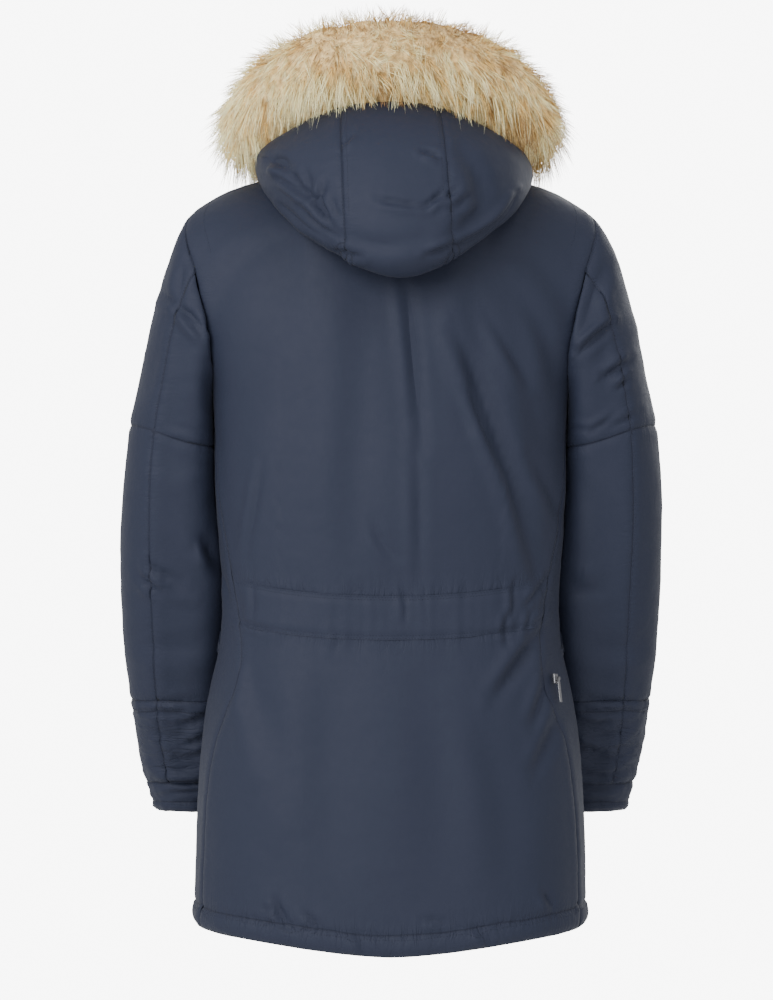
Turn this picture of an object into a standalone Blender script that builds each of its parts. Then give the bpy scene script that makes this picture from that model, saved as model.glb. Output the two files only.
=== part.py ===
# Fur trimmed parka: a padded coat that keeps the hollow form in which it is worn, with its hood down.
# The front faces -Y, +X is the wearer's left, and the origin is in the middle of the neck opening.
import math

import bmesh
import bpy
import numpy as np
from mathutils import Matrix, Vector
from mathutils.bvhtree import BVHTree

# walls and seams (metres)
SEAM_GAP = 0.0003
BODY_WALL = 0.008
SLEEVE_WALL = 0.007
HOOD_WALL = 0.005
COLLAR_WALL = 0.006
CHANNEL_WALL = 0.002
ZIP_WALL = 0.002
ZIP_RECESS = 0.0015
ZIP_DEPTH = 0.004
ZIP_HEM = 0.006

# body: superellipse sections from the hem up to the armpits
HEM_HEIGHT = -0.823
HEM_SIDE_RISE = 0.009
HEM_POWER = 4
ROUNDNESS = 2.6
BODY_SHAPE = (0.20, 0.15)
TORSO_NAMES = ("height", "half_width", "front_depth", "back_depth", "arm_hollow", "arm_y")
TORSO_ROWS = (
    (-0.823, 0.2185, 0.152, 0.155, 0.000, -0.110),
    (-0.768, 0.2175, 0.152, 0.156, 0.003, -0.110),
    (-0.668, 0.2150, 0.151, 0.155, 0.010, -0.100),
    (-0.569, 0.2060, 0.147, 0.150, 0.014, -0.068),
    (-0.503, 0.1930, 0.141, 0.142, 0.014, -0.048),
    (-0.455, 0.1915, 0.140, 0.141, 0.012, -0.036),
    (-0.414, 0.1935, 0.143, 0.146, 0.010, -0.026),
    (-0.326, 0.1975, 0.149, 0.152, 0.007, -0.010),
    (-0.262, 0.1945, 0.150, 0.151, 0.002, 0.000),
    (-0.215, 0.1940, 0.150, 0.149, 0.000, 0.000),
)
HOLLOW_SPAN = 0.062
SEAM_NAMES = ("height", "place")
SEAM_ROWS = (
    (-0.823, 0.765),
    (-0.668, 0.735),
    (-0.610, 0.700),
    (-0.545, 0.605),
    (-0.480, 0.640),
    (-0.330, 0.780),
    (-0.220, 0.90),
)
YOKE_BACK_HEIGHT = -0.252
YOKE_FRONT_HEIGHT = -0.245
YOKE_EASE = 0.12
YOKE_FADE = 0.5
ARMPIT_HEIGHT = -0.225
SEAM_BLEND = 0.2

# armhole: a flat ring from the underarm to the shoulder tip
UNDERARM = (0.1945, -0.235)
SHOULDER_TIP = (0.2175, -0.026)
ARMHOLE_HALF_DEPTH = 0.088
ARMHOLE_BULGE = 0.013
BULGE_TURN = math.radians(42)
BULGE_SPAN = math.radians(26)
BACK_NOTCH = math.radians(144)
FRONT_NOTCH = math.radians(216)

# shoulder and neck
SHOULDER_NAMES = ("across", "height")
SHOULDER_ROWS = (
    (0.097, 0.0200),
    (0.135, 0.0105),
    (0.176, -0.0020),
    (0.200, -0.0135),
    (0.2175, -0.0260),
)
SHOULDER_SLOPE = 0.32
CHEST_RISE = 1.15
SHOULDER_DRAW = 1.25
SHOULDER_RISE = 0.10
NECK_DRAW = 0.40
NECK_RISE = 0.85
ARMHOLE_POWER = 4
NECK_HALF_WIDTH = 0.097
NECK_HALF_DEPTH = 0.097
NECK_NAMES = ("turn", "height")
NECK_ROWS = ((0, 0.012), (45, 0.018), (90, 0.020), (135, 0.000), (180, -0.028))
NECK_SHARE = 0.5
COLLAR_BACK = 0.042
COLLAR_FRONT = 0.072
COLLAR_LEAN = 0.003
COLLAR_COLUMNS = 24
COLLAR_ROWS = 4
COLLAR_RISE_TURNS = (70, 170)
COLLAR_ZIP_STEPS = (0.33, 0.66, 0.97)

# grid of the body panels
BACK_COLUMNS = 20
FRONT_UNDER_COLUMNS = 5
FRONT_COLUMNS = 8
LOWER_ROWS = 20
ROWS_TO_CHANNEL = 12
UPPER_ROWS = 8
FRONT_SLOT = 0.008

# sleeve: sections between an inner and an outer point, fanned round the underarm
SLEEVE_NAMES = ("inner_x", "inner_z", "outer_x", "outer_z", "centre_y", "half_depth")
SLEEVE_ROWS = (
    (0.1948, -0.2350, 0.2178, -0.0261, 0.000, 0.0880),
    (0.1960, -0.2385, 0.2355, -0.0467, 0.000, 0.0885),
    (0.1968, -0.2430, 0.2490, -0.0746, 0.000, 0.0880),
    (0.1972, -0.2490, 0.2605, -0.1070, 0.000, 0.0865),
    (0.1970, -0.2560, 0.2700, -0.1450, 0.000, 0.0845),
    (0.1960, -0.2650, 0.2785, -0.1850, -0.001, 0.0820),
    (0.1952, -0.2760, 0.2865, -0.2280, -0.003, 0.0795),
    (0.1948, -0.2900, 0.2952, -0.2800, -0.006, 0.0775),
    (0.1945, -0.3280, 0.3012, -0.3254, -0.011, 0.0765),
    (0.1915, -0.3700, 0.3038, -0.3700, -0.018, 0.0750),
    (0.1875, -0.4150, 0.3050, -0.4150, -0.027, 0.0730),
    (0.1850, -0.4600, 0.3043, -0.4600, -0.038, 0.0700),
    (0.1855, -0.5050, 0.3025, -0.5050, -0.050, 0.0665),
    (0.1890, -0.5400, 0.2996, -0.5400, -0.060, 0.0630),
    (0.1930, -0.5740, 0.2955, -0.5740, -0.071, 0.0590),
    (0.1945, -0.6060, 0.2930, -0.6060, -0.083, 0.0550),
    (0.1935, -0.6380, 0.2880, -0.6380, -0.094, 0.0510),
    (0.1905, -0.6700, 0.2810, -0.6700, -0.104, 0.0475),
    (0.1870, -0.7030, 0.2705, -0.7030, -0.111, 0.0440),
)
ELBOW_STATION = 7
BAND_STATION = 14
CUFF_STATION = 17
SLEEVE_COLUMNS = 20
SLEEVE_ROUNDNESS = 2.2
SLEEVE_FULLNESS = {1: -0.0045, -1: 0.0030}
OUTER_HALF_COLUMNS = (-5, 4)
BULGE_STATIONS = 3
ROUND_STATIONS = 4
FULLNESS_STATIONS = (0, 2, 6, 11)

# hood: rows of the sagging bag from the neck seam under its lip and up to the rim
HOOD_NAMES = ("half_width", "middle_y", "back_depth", "front_depth",
              "z_back", "z_corner", "z_side", "z_shoulder", "z_front", "sway")
HOOD_TURNS = (0, 45, 90, 110, 146)
HOOD_ROWS = (
    (0.0985, 0.000, 0.0985, 0.0985, 0.0160, 0.0220, 0.0245, 0.0200, 0.0000, 0.000),
    (0.1130, 0.012, 0.1210, 0.1020, -0.0250, 0.0070, 0.0225, 0.0215, 0.0020, -0.003),
    (0.1300, 0.030, 0.1300, 0.1150, -0.0850, -0.0320, 0.0140, 0.0205, 0.0040, -0.006),
    (0.1430, 0.038, 0.1400, 0.1250, -0.1095, -0.0560, 0.0055, 0.0190, 0.0060, -0.010),
    (0.1480, 0.042, 0.1590, 0.1290, -0.1000, -0.0470, 0.0100, 0.0220, 0.0080, -0.010),
    (0.1490, 0.042, 0.1680, 0.1300, -0.0580, -0.0170, 0.0170, 0.0250, 0.0110, -0.007),
    (0.1475, 0.040, 0.1580, 0.1290, 0.0020, 0.0180, 0.0240, 0.0280, 0.0150, -0.004),
    (0.1450, 0.036, 0.1320, 0.1260, 0.0500, 0.0420, 0.0300, 0.0310, 0.0180, -0.001),
)
HOOD_STEPS = (0.0, 0.14, 0.30, 0.39, 0.47, 0.60, 0.74, 0.88, 1.0)
HOOD_CLEAR = 0.0035
CLEAR_PASSES = 3
HOOD_SEAM_TURN = 21.5
HOOD_CENTRE_COLUMNS = 6
HOOD_SIDE_COLUMNS = 10
HOOD_FRONT_TURN = 146

# fur: the middle line of the trim and its thickness, from the centre back to the front end
FUR_NAMES = ("x", "y", "z", "radius", "droop")
FUR_ROWS = (
    (0.000, 0.115, 0.131, 0.051, 0.00),
    (0.066, 0.105, 0.124, 0.050, 0.04),
    (0.115, 0.072, 0.105, 0.049, 0.12),
    (0.143, 0.028, 0.081, 0.0455, 0.22),
    (0.149, -0.020, 0.067, 0.0435, 0.28),
    (0.128, -0.068, 0.062, 0.040, 0.14),
    (0.085, -0.102, 0.056, 0.032, 0.05),
)
DROOP_TURN = math.radians(-42)
FUR_STATIONS = 44
FUR_SIDES = 12
FUR_TUFT = 0.004
FUR_SEED = 7
FUR_END = 0.999
FUR_END_SHRINK = 0.35
FUR_END_REACH = 0.006
RIM_LIFT = -0.0020
RIM_END = 0.97
RIM_DIP_FADE = 1.4
RIM_SPREAD = 0.6
RIM_DIP = -82
RIM_DIP_SIDE = -24

# waist channel over the back, by rises of the lower body
CHANNEL_LOW = 0.569
CHANNEL_HIGH = 0.652
CHANNEL_END = 0.004

# pocket zips and pulls
POCKET_STRIP = 0.013
POCKET_LIFT = 0.0010
POCKET_LOW = (0.638, -0.547)
POCKET_HIGH = (1.385, -0.436)
POCKET_STEPS = 28
PULL_TILT = 0.11
SLIDER_SIZE = (0.0070, 0.0110, 0.0030)
CHEEK_SIZE = (0.0012, 0.0042, 0.0034)
CHEEK_SPREAD = 0.0036
ROD_RADIUS = 0.0007
ROD_LIFT = 0.0024
TAB_WIDTH = 0.0042
TAB_LENGTH = 0.0265
TAB_WALL = 0.0012
EYE_RADIUS = 0.0018
EYE_HOLE = 0.0011
ROD_SIDES = 12
EYE_SIDES = 16
CHEEK_SINK = 0.0006
NECK_WIDTH = 0.0030
NECK_LENGTH = 0.0042
NECK_DROP = 0.0030
PLATE_START = 0.0040
HOLE_LENGTH = 0.0200
SLIDER_BEVEL = 0.0007
TAB_BEVEL = 0.0003

# largest folds, as soft troughs on the outside of the cloth
FOLD_RUN = (0.07, 0.93)
FOLD_TAPER = 0.7
FOLD_NAMES = ("x0", "z0", "x1", "z1", "width", "depth")
BACK_FOLDS = (
    (-0.005, -0.110, -0.022, -0.300, 0.016, 0.0030),
    (-0.070, -0.165, -0.120, -0.285, 0.017, 0.0034),
    (-0.120, -0.285, -0.163, -0.430, 0.016, 0.0034),
    (0.028, -0.240, 0.040, -0.415, 0.018, 0.0026),
    (0.105, -0.300, 0.160, -0.425, 0.017, 0.0028),
    (-0.165, -0.505, -0.105, -0.590, 0.016, 0.0032),
    (-0.175, -0.560, -0.135, -0.690, 0.016, 0.0030),
    (0.150, -0.510, 0.105, -0.640, 0.017, 0.0026),
    (0.060, -0.520, 0.045, -0.700, 0.020, 0.0020),
)
FRONT_FOLDS = (
    (0.060, -0.160, 0.120, -0.290, 0.017, 0.0030),
    (-0.055, -0.170, -0.110, -0.280, 0.018, 0.0028),
    (0.150, -0.300, 0.095, -0.420, 0.017, 0.0026),
    (-0.145, -0.320, -0.100, -0.430, 0.016, 0.0026),
    (0.130, -0.520, 0.080, -0.650, 0.017, 0.0028),
    (-0.135, -0.510, -0.075, -0.620, 0.018, 0.0030),
    (-0.050, -0.560, -0.060, -0.740, 0.020, 0.0020),
)

# each finish: colour, roughness and how metallic it is
FINISHES = {
    "navy": ((0.030, 0.037, 0.058, 1.0), 0.6, 0.0),
    "fur": ((0.560, 0.420, 0.270, 1.0), 0.9, 0.0),
    "zip": ((0.012, 0.014, 0.020, 1.0), 0.6, 0.0),
    "metal": ((0.550, 0.550, 0.540, 1.0), 0.3, 1.0),
}


def table(names, rows, name):
    """One named column of a table as an array."""
    return np.array([row[names.index(name)] for row in rows], dtype=float)


def smooth(places, values, at):
    """Values of a table at any place, on a smooth curve through its rows."""
    places = np.asarray(places, dtype=float)
    values = np.asarray(values, dtype=float)
    slopes = np.gradient(values, places)
    at = np.clip(np.asarray(at, dtype=float), places[0], places[-1])
    low = np.clip(np.searchsorted(places, at) - 1, 0, len(places) - 2)
    span = places[low + 1] - places[low]
    t = (at - places[low]) / span
    rise = values[low] * (2 * t**3 - 3 * t**2 + 1) + values[low + 1] * (3 * t**2 - 2 * t**3)
    bend = slopes[low] * (t**3 - 2 * t**2 + t) + slopes[low + 1] * (t**3 - t**2)
    return rise + span * bend


def ease(t):
    """A soft step from 0 to 1."""
    t = np.clip(t, 0.0, 1.0)
    return t * t * (3 - 2 * t)


def unit(vectors):
    """Vectors at length one."""
    length = np.linalg.norm(vectors, axis=-1, keepdims=True)
    return vectors / np.maximum(length, 1e-12)


def quarter_arc():
    """A quarter of the body's section at even steps along its outline."""
    turn = np.linspace(0, math.pi / 2, 400)
    across = np.sin(turn) ** (2 / ROUNDNESS)
    along = np.cos(turn) ** (2 / ROUNDNESS)
    steps = np.hypot(np.diff(across) * BODY_SHAPE[0], np.diff(along) * BODY_SHAPE[1])
    length = np.concatenate(([0], np.cumsum(steps)))
    return length / length[-1], across, along


ARC_SHARE, ARC_ACROSS, ARC_ALONG = quarter_arc()


def section(place, height):
    """The body's outline: place 0 is the centre back, 1 the side and 2 the centre front."""
    place = np.asarray(place, dtype=float)
    heights = table(TORSO_NAMES, TORSO_ROWS, "height")
    half = smooth(heights, table(TORSO_NAMES, TORSO_ROWS, "half_width"), height)
    front = smooth(heights, table(TORSO_NAMES, TORSO_ROWS, "front_depth"), height)
    back = smooth(heights, table(TORSO_NAMES, TORSO_ROWS, "back_depth"), height)
    share = np.where(np.abs(place) <= 1, np.abs(place), 2 - np.abs(place))
    across = np.interp(share, ARC_SHARE, ARC_ACROSS)
    along = np.interp(share, ARC_SHARE, ARC_ALONG)
    depth = np.where(np.abs(place) <= 1, back * along, -front * along)
    hollow = smooth(heights, table(TORSO_NAMES, TORSO_ROWS, "arm_hollow"), height)
    arm_y = smooth(heights, table(TORSO_NAMES, TORSO_ROWS, "arm_y"), height)
    press = hollow * np.exp(-(((depth - arm_y) / HOLLOW_SPAN) ** 2)) * across
    return np.sign(place) * (half * across - press), depth


def bulge(turn):
    """How far the armhole stands out in front of and behind the shoulder tip."""
    away = math.pi - np.abs(np.mod(turn, 2 * math.pi) - math.pi)
    level = math.exp(-((BULGE_TURN / BULGE_SPAN) ** 2))
    swell = np.exp(-(((away - BULGE_TURN) / BULGE_SPAN) ** 2))
    return ARMHOLE_BULGE * np.maximum(swell - level, 0) / (1 - level)


def armhole(turn):
    """A point of the left armhole: turn 0 is the shoulder tip, a quarter turn the back."""
    turn = np.asarray(turn, dtype=float)
    middle_x = (UNDERARM[0] + SHOULDER_TIP[0]) / 2
    middle_z = (UNDERARM[1] + SHOULDER_TIP[1]) / 2
    x = middle_x + (SHOULDER_TIP[0] - middle_x) * np.cos(turn) + bulge(turn)
    z = middle_z + (SHOULDER_TIP[1] - middle_z) * np.cos(turn)
    return np.stack([x, ARMHOLE_HALF_DEPTH * np.sin(turn), z], axis=-1)


def place_at_depth(depth, height):
    """The place on the outline where the section has a given depth, near the side."""
    places = np.linspace(0.5, 1.5, 2001)
    depths = section(places, height)[1]
    return float(np.interp(-depth, -depths, places))


NOTCH_BACK = place_at_depth(armhole(BACK_NOTCH)[1], armhole(BACK_NOTCH)[2])
NOTCH_FRONT = place_at_depth(armhole(FRONT_NOTCH)[1], armhole(FRONT_NOTCH)[2])


def yoke(place):
    """The line round the body at the armpits, where the lower and upper cloth meet."""
    place = np.asarray(place, dtype=float)
    away = np.abs(place)
    back_z = armhole(BACK_NOTCH)[2]
    front_z = armhole(FRONT_NOTCH)[2]
    depth = section(away, ARMPIT_HEIGHT)[1]
    under = np.clip(depth / ARMHOLE_HALF_DEPTH, -0.999, 0.999)
    turn = math.pi - np.arcsin(under)
    ring = armhole(turn)
    z_back = YOKE_BACK_HEIGHT + (back_z - YOKE_BACK_HEIGHT) * (away / NOTCH_BACK) ** 2
    toward_front = (2 - away) / (2 - NOTCH_FRONT)
    z_front = YOKE_FRONT_HEIGHT + (front_z - YOKE_FRONT_HEIGHT) * toward_front**2
    height = np.where(away < NOTCH_BACK, z_back, np.where(away > NOTCH_FRONT, z_front, ring[..., 2]))
    x, y = section(place, height)
    out_back = armhole(BACK_NOTCH)[0] - section(NOTCH_BACK, back_z)[0]
    out_front = armhole(FRONT_NOTCH)[0] - section(NOTCH_FRONT, front_z)[0]
    fade_back = out_back * ease(1 - (NOTCH_BACK - away) / YOKE_FADE)
    fade_front = out_front * ease(1 - (away - NOTCH_FRONT) / YOKE_FADE)
    under_out = ring[..., 0] - np.abs(x)
    out = np.where(away < NOTCH_BACK, fade_back, np.where(away > NOTCH_FRONT, fade_front, under_out))
    y = np.where((away >= NOTCH_BACK) & (away <= NOTCH_FRONT), ring[..., 1], y)
    return np.stack([x + np.sign(place) * out, y, height], axis=-1)


def lower_body(place, rise):
    """The body below the armpits: rise 0 is the hem and 1 the yoke line."""
    place = np.asarray(place, dtype=float)
    rise = np.asarray(rise, dtype=float)
    top = yoke(place)
    share = np.where(np.abs(place) <= 1, np.abs(place), 2 - np.abs(place))
    hem = HEM_HEIGHT + HEM_SIDE_RISE * np.interp(share, ARC_SHARE, ARC_ACROSS) ** HEM_POWER
    height = hem + (top[..., 2] - hem) * rise
    x, y = section(place, height)
    x_top, y_top = section(place, top[..., 2])
    fade = ease((rise - (1 - YOKE_EASE)) / YOKE_EASE)
    x = x + (top[..., 0] - x_top) * fade
    y = y + (top[..., 1] - y_top) * fade
    return np.stack([x, y, height], axis=-1)


def neck_height(turn):
    """Height of the neck seam, by degrees from the centre back."""
    turns = table(NECK_NAMES, NECK_ROWS, "turn")
    return smooth(turns, table(NECK_NAMES, NECK_ROWS, "height"), turn)


def neck_point(turn, grow=0.0, lift=0.0):
    """A point of the neck seam on the left, grown outwards and lifted."""
    angle = np.radians(turn)
    x = (NECK_HALF_WIDTH + grow) * np.sin(angle)
    y = (NECK_HALF_DEPTH + grow) * np.cos(angle)
    return np.stack([x, y, neck_height(turn) + lift], axis=-1)


def upper_edge(across, front):
    """The top edge of a body panel: 0 is the centre, then the neck, then the shoulder seam."""
    across = np.asarray(across, dtype=float)
    side = np.where(across < 0, -1.0, 1.0)
    away = np.abs(across)
    swing = 90 * np.clip(away / NECK_SHARE, 0, 1)
    turn = 180 - swing if front else swing
    neck = neck_point(turn)
    along = np.clip((away - NECK_SHARE) / (1 - NECK_SHARE), 0, 1)
    shoulder_x = NECK_HALF_WIDTH + (SHOULDER_TIP[0] - NECK_HALF_WIDTH) * along
    xs = table(SHOULDER_NAMES, SHOULDER_ROWS, "across")
    shoulder_z = smooth(xs, table(SHOULDER_NAMES, SHOULDER_ROWS, "height"), shoulder_x)
    shoulder = np.stack([shoulder_x, np.zeros_like(shoulder_x), shoulder_z], axis=-1)
    point = np.where((away <= NECK_SHARE)[..., None], neck, shoulder)
    point[..., 0] *= side
    return point


def upper_body(across, rise, front):
    """The body above the armpits, from the yoke line (rise 0) to the neck and shoulder (1)."""
    across = np.asarray(across, dtype=float)
    rise = np.asarray(rise, dtype=float)
    facing = -1.0 if front else 1.0
    if front:
        place = np.sign(across + 1e-9) * (2 - (2 - NOTCH_FRONT) * np.abs(across))
        notch = FRONT_NOTCH - 2 * math.pi
    else:
        place = NOTCH_BACK * across
        notch = BACK_NOTCH
    bottom = yoke(place)
    top = upper_edge(across, front)
    chord = np.linalg.norm(top - bottom, axis=-1, keepdims=True)
    start = np.zeros_like(bottom)
    start[..., 2] = CHEST_RISE
    neck_part = ease(1 - np.abs(across) / NECK_SHARE)
    finish = np.zeros_like(bottom)
    draw = SHOULDER_DRAW + (NECK_DRAW - SHOULDER_DRAW) * neck_part
    finish[..., 1] = -facing * draw
    finish[..., 2] = SHOULDER_RISE + (NECK_RISE - SHOULDER_RISE) * neck_part
    t = rise[..., None]

    def bend(a, b, m0, m1):
        rise_part = a * (2 * t**3 - 3 * t**2 + 1) + b * (3 * t**2 - 2 * t**3)
        return rise_part + m0 * (t**3 - 2 * t**2 + t) + m1 * (t**3 - t**2)

    surface = bend(bottom, top, start * chord, finish * chord)
    side = np.where(across < 0, -1.0, 1.0)
    edge_across = side
    if front:
        edge_bottom = yoke(side * NOTCH_FRONT)
    else:
        edge_bottom = yoke(side * NOTCH_BACK)
    edge_top = upper_edge(edge_across, front)
    edge_chord = np.linalg.norm(edge_top - edge_bottom, axis=-1, keepdims=True)
    edge_finish = np.zeros_like(bottom)
    edge_finish[..., 1] = -facing * SHOULDER_DRAW
    edge_finish[..., 2] = SHOULDER_RISE
    edge = bend(edge_bottom, edge_top, start * edge_chord, edge_finish * edge_chord)
    ring = armhole(notch * (1 - rise))
    ring[..., 0] *= side
    return surface + (np.abs(across) ** ARMHOLE_POWER)[..., None] * (ring - edge)


def lower_normals(place, rise):
    """Outward directions of the lower body, the same for both panels at a side seam."""
    place_step, rise_step = 0.02, 0.01
    rise = np.full_like(place, rise)
    along = lower_body(place + place_step, rise) - lower_body(place - place_step, rise)
    above = np.minimum(rise + rise_step, 1.0)
    upward = lower_body(place, above) - lower_body(place, rise - rise_step)
    return unit(np.cross(upward, along))


def normals_of(points):
    """Outward directions of a grid from its neighbouring points."""
    down = np.gradient(points, axis=0)
    along = np.gradient(points, axis=1)
    return unit(np.cross(down, along))


def relief(points, folds):
    """How far soft folds press the cloth in at each point."""
    depth = np.zeros(points.shape[:-1])
    for fold in folds:
        value = dict(zip(FOLD_NAMES, fold))
        start = np.array([value["x0"], value["z0"]])
        run = np.array([value["x1"], value["z1"]]) - start
        offset = points[..., [0, 2]] - start
        along = (offset @ run) / (run @ run)
        nearest = np.clip(along, 0, 1)
        gap = offset - nearest[..., None] * run
        distance = np.hypot(gap[..., 0], gap[..., 1])
        share = FOLD_RUN[0] + (FOLD_RUN[1] - FOLD_RUN[0]) * along
        taper = np.sin(math.pi * np.clip(share, 0, 1)) ** FOLD_TAPER
        depth += value["depth"] * taper * np.exp(-((distance / value["width"]) ** 2))
    return depth


def draw_in(points, edges, distance):
    """Moves the named edges of a grid toward its inside, for half a seam's gap."""
    moved = points.copy()
    for edge in edges:
        if edge == "first_row":
            moved[0] += distance * unit(points[1] - points[0])
        elif edge == "last_row":
            moved[-1] += distance * unit(points[-2] - points[-1])
        elif edge == "first_column":
            moved[:, 0] += distance * unit(points[:, 1] - points[:, 0])
        else:
            moved[:, -1] += distance * unit(points[:, -2] - points[:, -1])
    return moved


def new_material(name, finish):
    """A plain surface of one finish."""
    colour, roughness, metallic = FINISHES[finish]
    material = bpy.data.materials.new(name)
    material.use_nodes = True
    shader = material.node_tree.nodes["Principled BSDF"]
    shader.inputs["Base Color"].default_value = colour
    shader.inputs["Roughness"].default_value = roughness
    shader.inputs["Metallic"].default_value = metallic
    return material


def add_mesh(name, vertices, faces, finish, collection):
    """A new object with its own mesh and material."""
    mesh = bpy.data.meshes.new(name)
    mesh.from_pydata([tuple(map(float, v)) for v in vertices], [], faces)
    mesh.validate()
    work = bmesh.new()
    work.from_mesh(mesh)
    loose = [v for v in work.verts if not v.link_faces]
    bmesh.ops.delete(work, geom=loose, context="VERTS")
    bmesh.ops.recalc_face_normals(work, faces=work.faces)
    work.to_mesh(mesh)
    work.free()
    mesh.materials.append(new_material(name, finish))
    thing = bpy.data.objects.new(name, mesh)
    collection.objects.link(thing)
    return thing


OUTSIDE_FACES = {}


def wall(name, outer, inner, collection, finish="navy", cells=None, closed=False):
    """A closed sheet of cloth between an outer and an inner grid of points."""
    rows, columns = outer.shape[:2]
    count = rows * columns
    span = columns if closed else columns - 1
    outside = []
    for row in range(rows - 1):
        for column in range(span):
            if cells is not None and not cells[row][column]:
                continue
            after = (column + 1) % columns
            a = row * columns + column
            b = row * columns + after
            c = (row + 1) * columns + after
            d = (row + 1) * columns + column
            outside.append((a, b, c))
            outside.append((a, c, d))
    edges = set()
    for face in outside:
        for i in range(3):
            edges.add((face[i], face[(i + 1) % 3]))
    faces = list(outside)
    faces += [(a + count, c + count, b + count) for a, b, c in outside]
    for start, end in sorted(edges):
        if (end, start) in edges:
            continue
        low, high = min(start, end), max(start, end)
        faces.append((low, high, high + count))
        faces.append((low, high + count, low + count))
    OUTSIDE_FACES[name] = len(outside)
    vertices = np.concatenate([outer.reshape(-1, 3), inner.reshape(-1, 3)])
    return add_mesh(name, vertices, faces, finish, collection)


def mirrored(points):
    """The same points on the wearer's right."""
    flipped = points.copy()
    flipped[..., 0] *= -1
    return flipped


def seam_place(rise):
    """Where the side seam runs on the body's outline, from hem to armhole."""
    height = HEM_HEIGHT + (armhole(BACK_NOTCH)[2] - HEM_HEIGHT) * np.asarray(rise)
    heights = table(SEAM_NAMES, SEAM_ROWS, "height")
    place = smooth(heights, table(SEAM_NAMES, SEAM_ROWS, "place"), height)
    return place + (NOTCH_BACK - place) * ease((np.asarray(rise) - 1 + SEAM_BLEND) / SEAM_BLEND)


def lower_rises():
    """Steps from hem to yoke line, with rows on the edges of the waist channel."""
    below = np.linspace(0, CHANNEL_LOW, ROWS_TO_CHANNEL)
    above = np.linspace(CHANNEL_HIGH, 1, LOWER_ROWS - ROWS_TO_CHANNEL)
    return np.concatenate([below, [(CHANNEL_LOW + CHANNEL_HIGH) / 2], above])


def seam_shift(rises):
    """Half a seam's gap toward the back, along the body, at each step of the left side seam."""
    step = 0.02
    place = np.array([float(seam_place(rise)) for rise in rises])
    return SEAM_GAP / 2 * unit(lower_body(place - step, rises) - lower_body(place + step, rises))


def back_panel(collection):
    """The back, cut in one piece, with its outside points and directions."""
    rises = lower_rises()
    across = np.linspace(-1, 1, BACK_COLUMNS + 1)
    places = [across * float(seam_place(rise)) for rise in rises]
    lower = [lower_body(place, rise) for place, rise in zip(places, rises)]
    upper = [upper_body(across, np.full_like(across, rise), False)
             for rise in np.linspace(0, 1, UPPER_ROWS + 1)[1:]]
    base = np.array(lower + upper)
    normal = normals_of(base)
    normal[:len(lower)] = [lower_normals(place, rise) for place, rise in zip(places, rises)]
    normal[-1] = top_normals(normal[-1], across)
    outer = base - normal * relief(base, BACK_FOLDS)[..., None]
    outer[-1] = base[-1]
    outer[:, 0] = base[:, 0]
    outer[:, -1] = base[:, -1]
    inner = base - normal * BODY_WALL
    first = LOWER_ROWS
    outer, inner = part_seams(outer, inner, first)
    panel = wall("back_panel", outer, inner, collection)
    return panel, outer, normal


def top_normals(normal, across):
    """Directions on a panel's top edge, upright in the plane of the shoulder seam."""
    fixed = normal.copy()
    on_seam = np.abs(across) >= NECK_SHARE - 1e-6
    fixed[on_seam, 0] = np.sign(across[on_seam]) * SHOULDER_SLOPE
    fixed[on_seam, 1] = 0.0
    fixed[on_seam, 2] = 1.0
    return unit(fixed)


def part_seams(outer, inner, first):
    """Half a seam's gap at the side seams and on the shoulder seam."""
    shift = seam_shift(lower_rises())
    for grid in (outer, inner):
        grid[:first + 1, 0] += mirrored(shift)
        grid[:first + 1, -1] += shift
        grid[-1] += SEAM_GAP / 2 * unit(grid[-2] - grid[-1])
    return outer, inner


def front_panel(collection, side):
    """The left (side 1) or right (side -1) front, split at the zip's slot."""
    rises = lower_rises()
    upper_across = np.linspace(1, 0, FRONT_COLUMNS + 1)
    upper_places = 2 - (2 - NOTCH_FRONT) * upper_across
    lower, lower_normal = [], []
    for rise in rises:
        start = float(seam_place(rise))
        under = np.linspace(start, NOTCH_FRONT, FRONT_UNDER_COLUMNS + 1)[:-1]
        places = np.concatenate([under, upper_places])
        lower.append(lower_body(places, rise))
        lower_normal.append(lower_normals(np.minimum(places, 2 - 0.02), rise))
    steps = np.linspace(0, 1, UPPER_ROWS + 1)
    upper = []
    for rise in steps[1:]:
        row = upper_body(upper_across, np.full_like(upper_across, rise), True)
        pad = np.repeat(row[:1], FRONT_UNDER_COLUMNS, axis=0)
        upper.append(np.concatenate([pad, row]))
    base = np.array(lower + upper)
    first = LOWER_ROWS
    skip = FRONT_UNDER_COLUMNS
    normal = np.zeros_like(base)
    normal[:first + 1] = lower_normal
    normal[first + 1:, skip:] = normals_of(base[first:, skip:])[1:]
    normal[-1, skip:] = top_normals(normal[-1, skip:], upper_across)
    folds = [(side * x0, z0, side * x1, z1, w, d) for x0, z0, x1, z1, w, d in FRONT_FOLDS]
    outer = base - normal * relief(base, folds)[..., None]
    inner = base - normal * BODY_WALL
    outer[-1] = base[-1]
    outer[:, 0] = base[:, 0]
    outer[first:, skip] = base[first:, skip]
    outer[first, :skip] = base[first, :skip]
    for grid in (outer, inner):
        grid[:first + 1, 0] -= seam_shift(rises)
        grid[-1, skip:] += SEAM_GAP / 2 * unit(grid[-2, skip:] - grid[-1, skip:])
        grid[:, -1, 0] = FRONT_SLOT / 2
    cells = np.ones((len(base) - 1, base.shape[1] - 1), dtype=bool)
    cells[first:, :skip] = False
    if side < 0:
        outer, inner = mirrored(outer), mirrored(inner)
    name = "front_left" if side > 0 else "front_right"
    return wall(name, outer, inner, collection, cells=cells)


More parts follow.
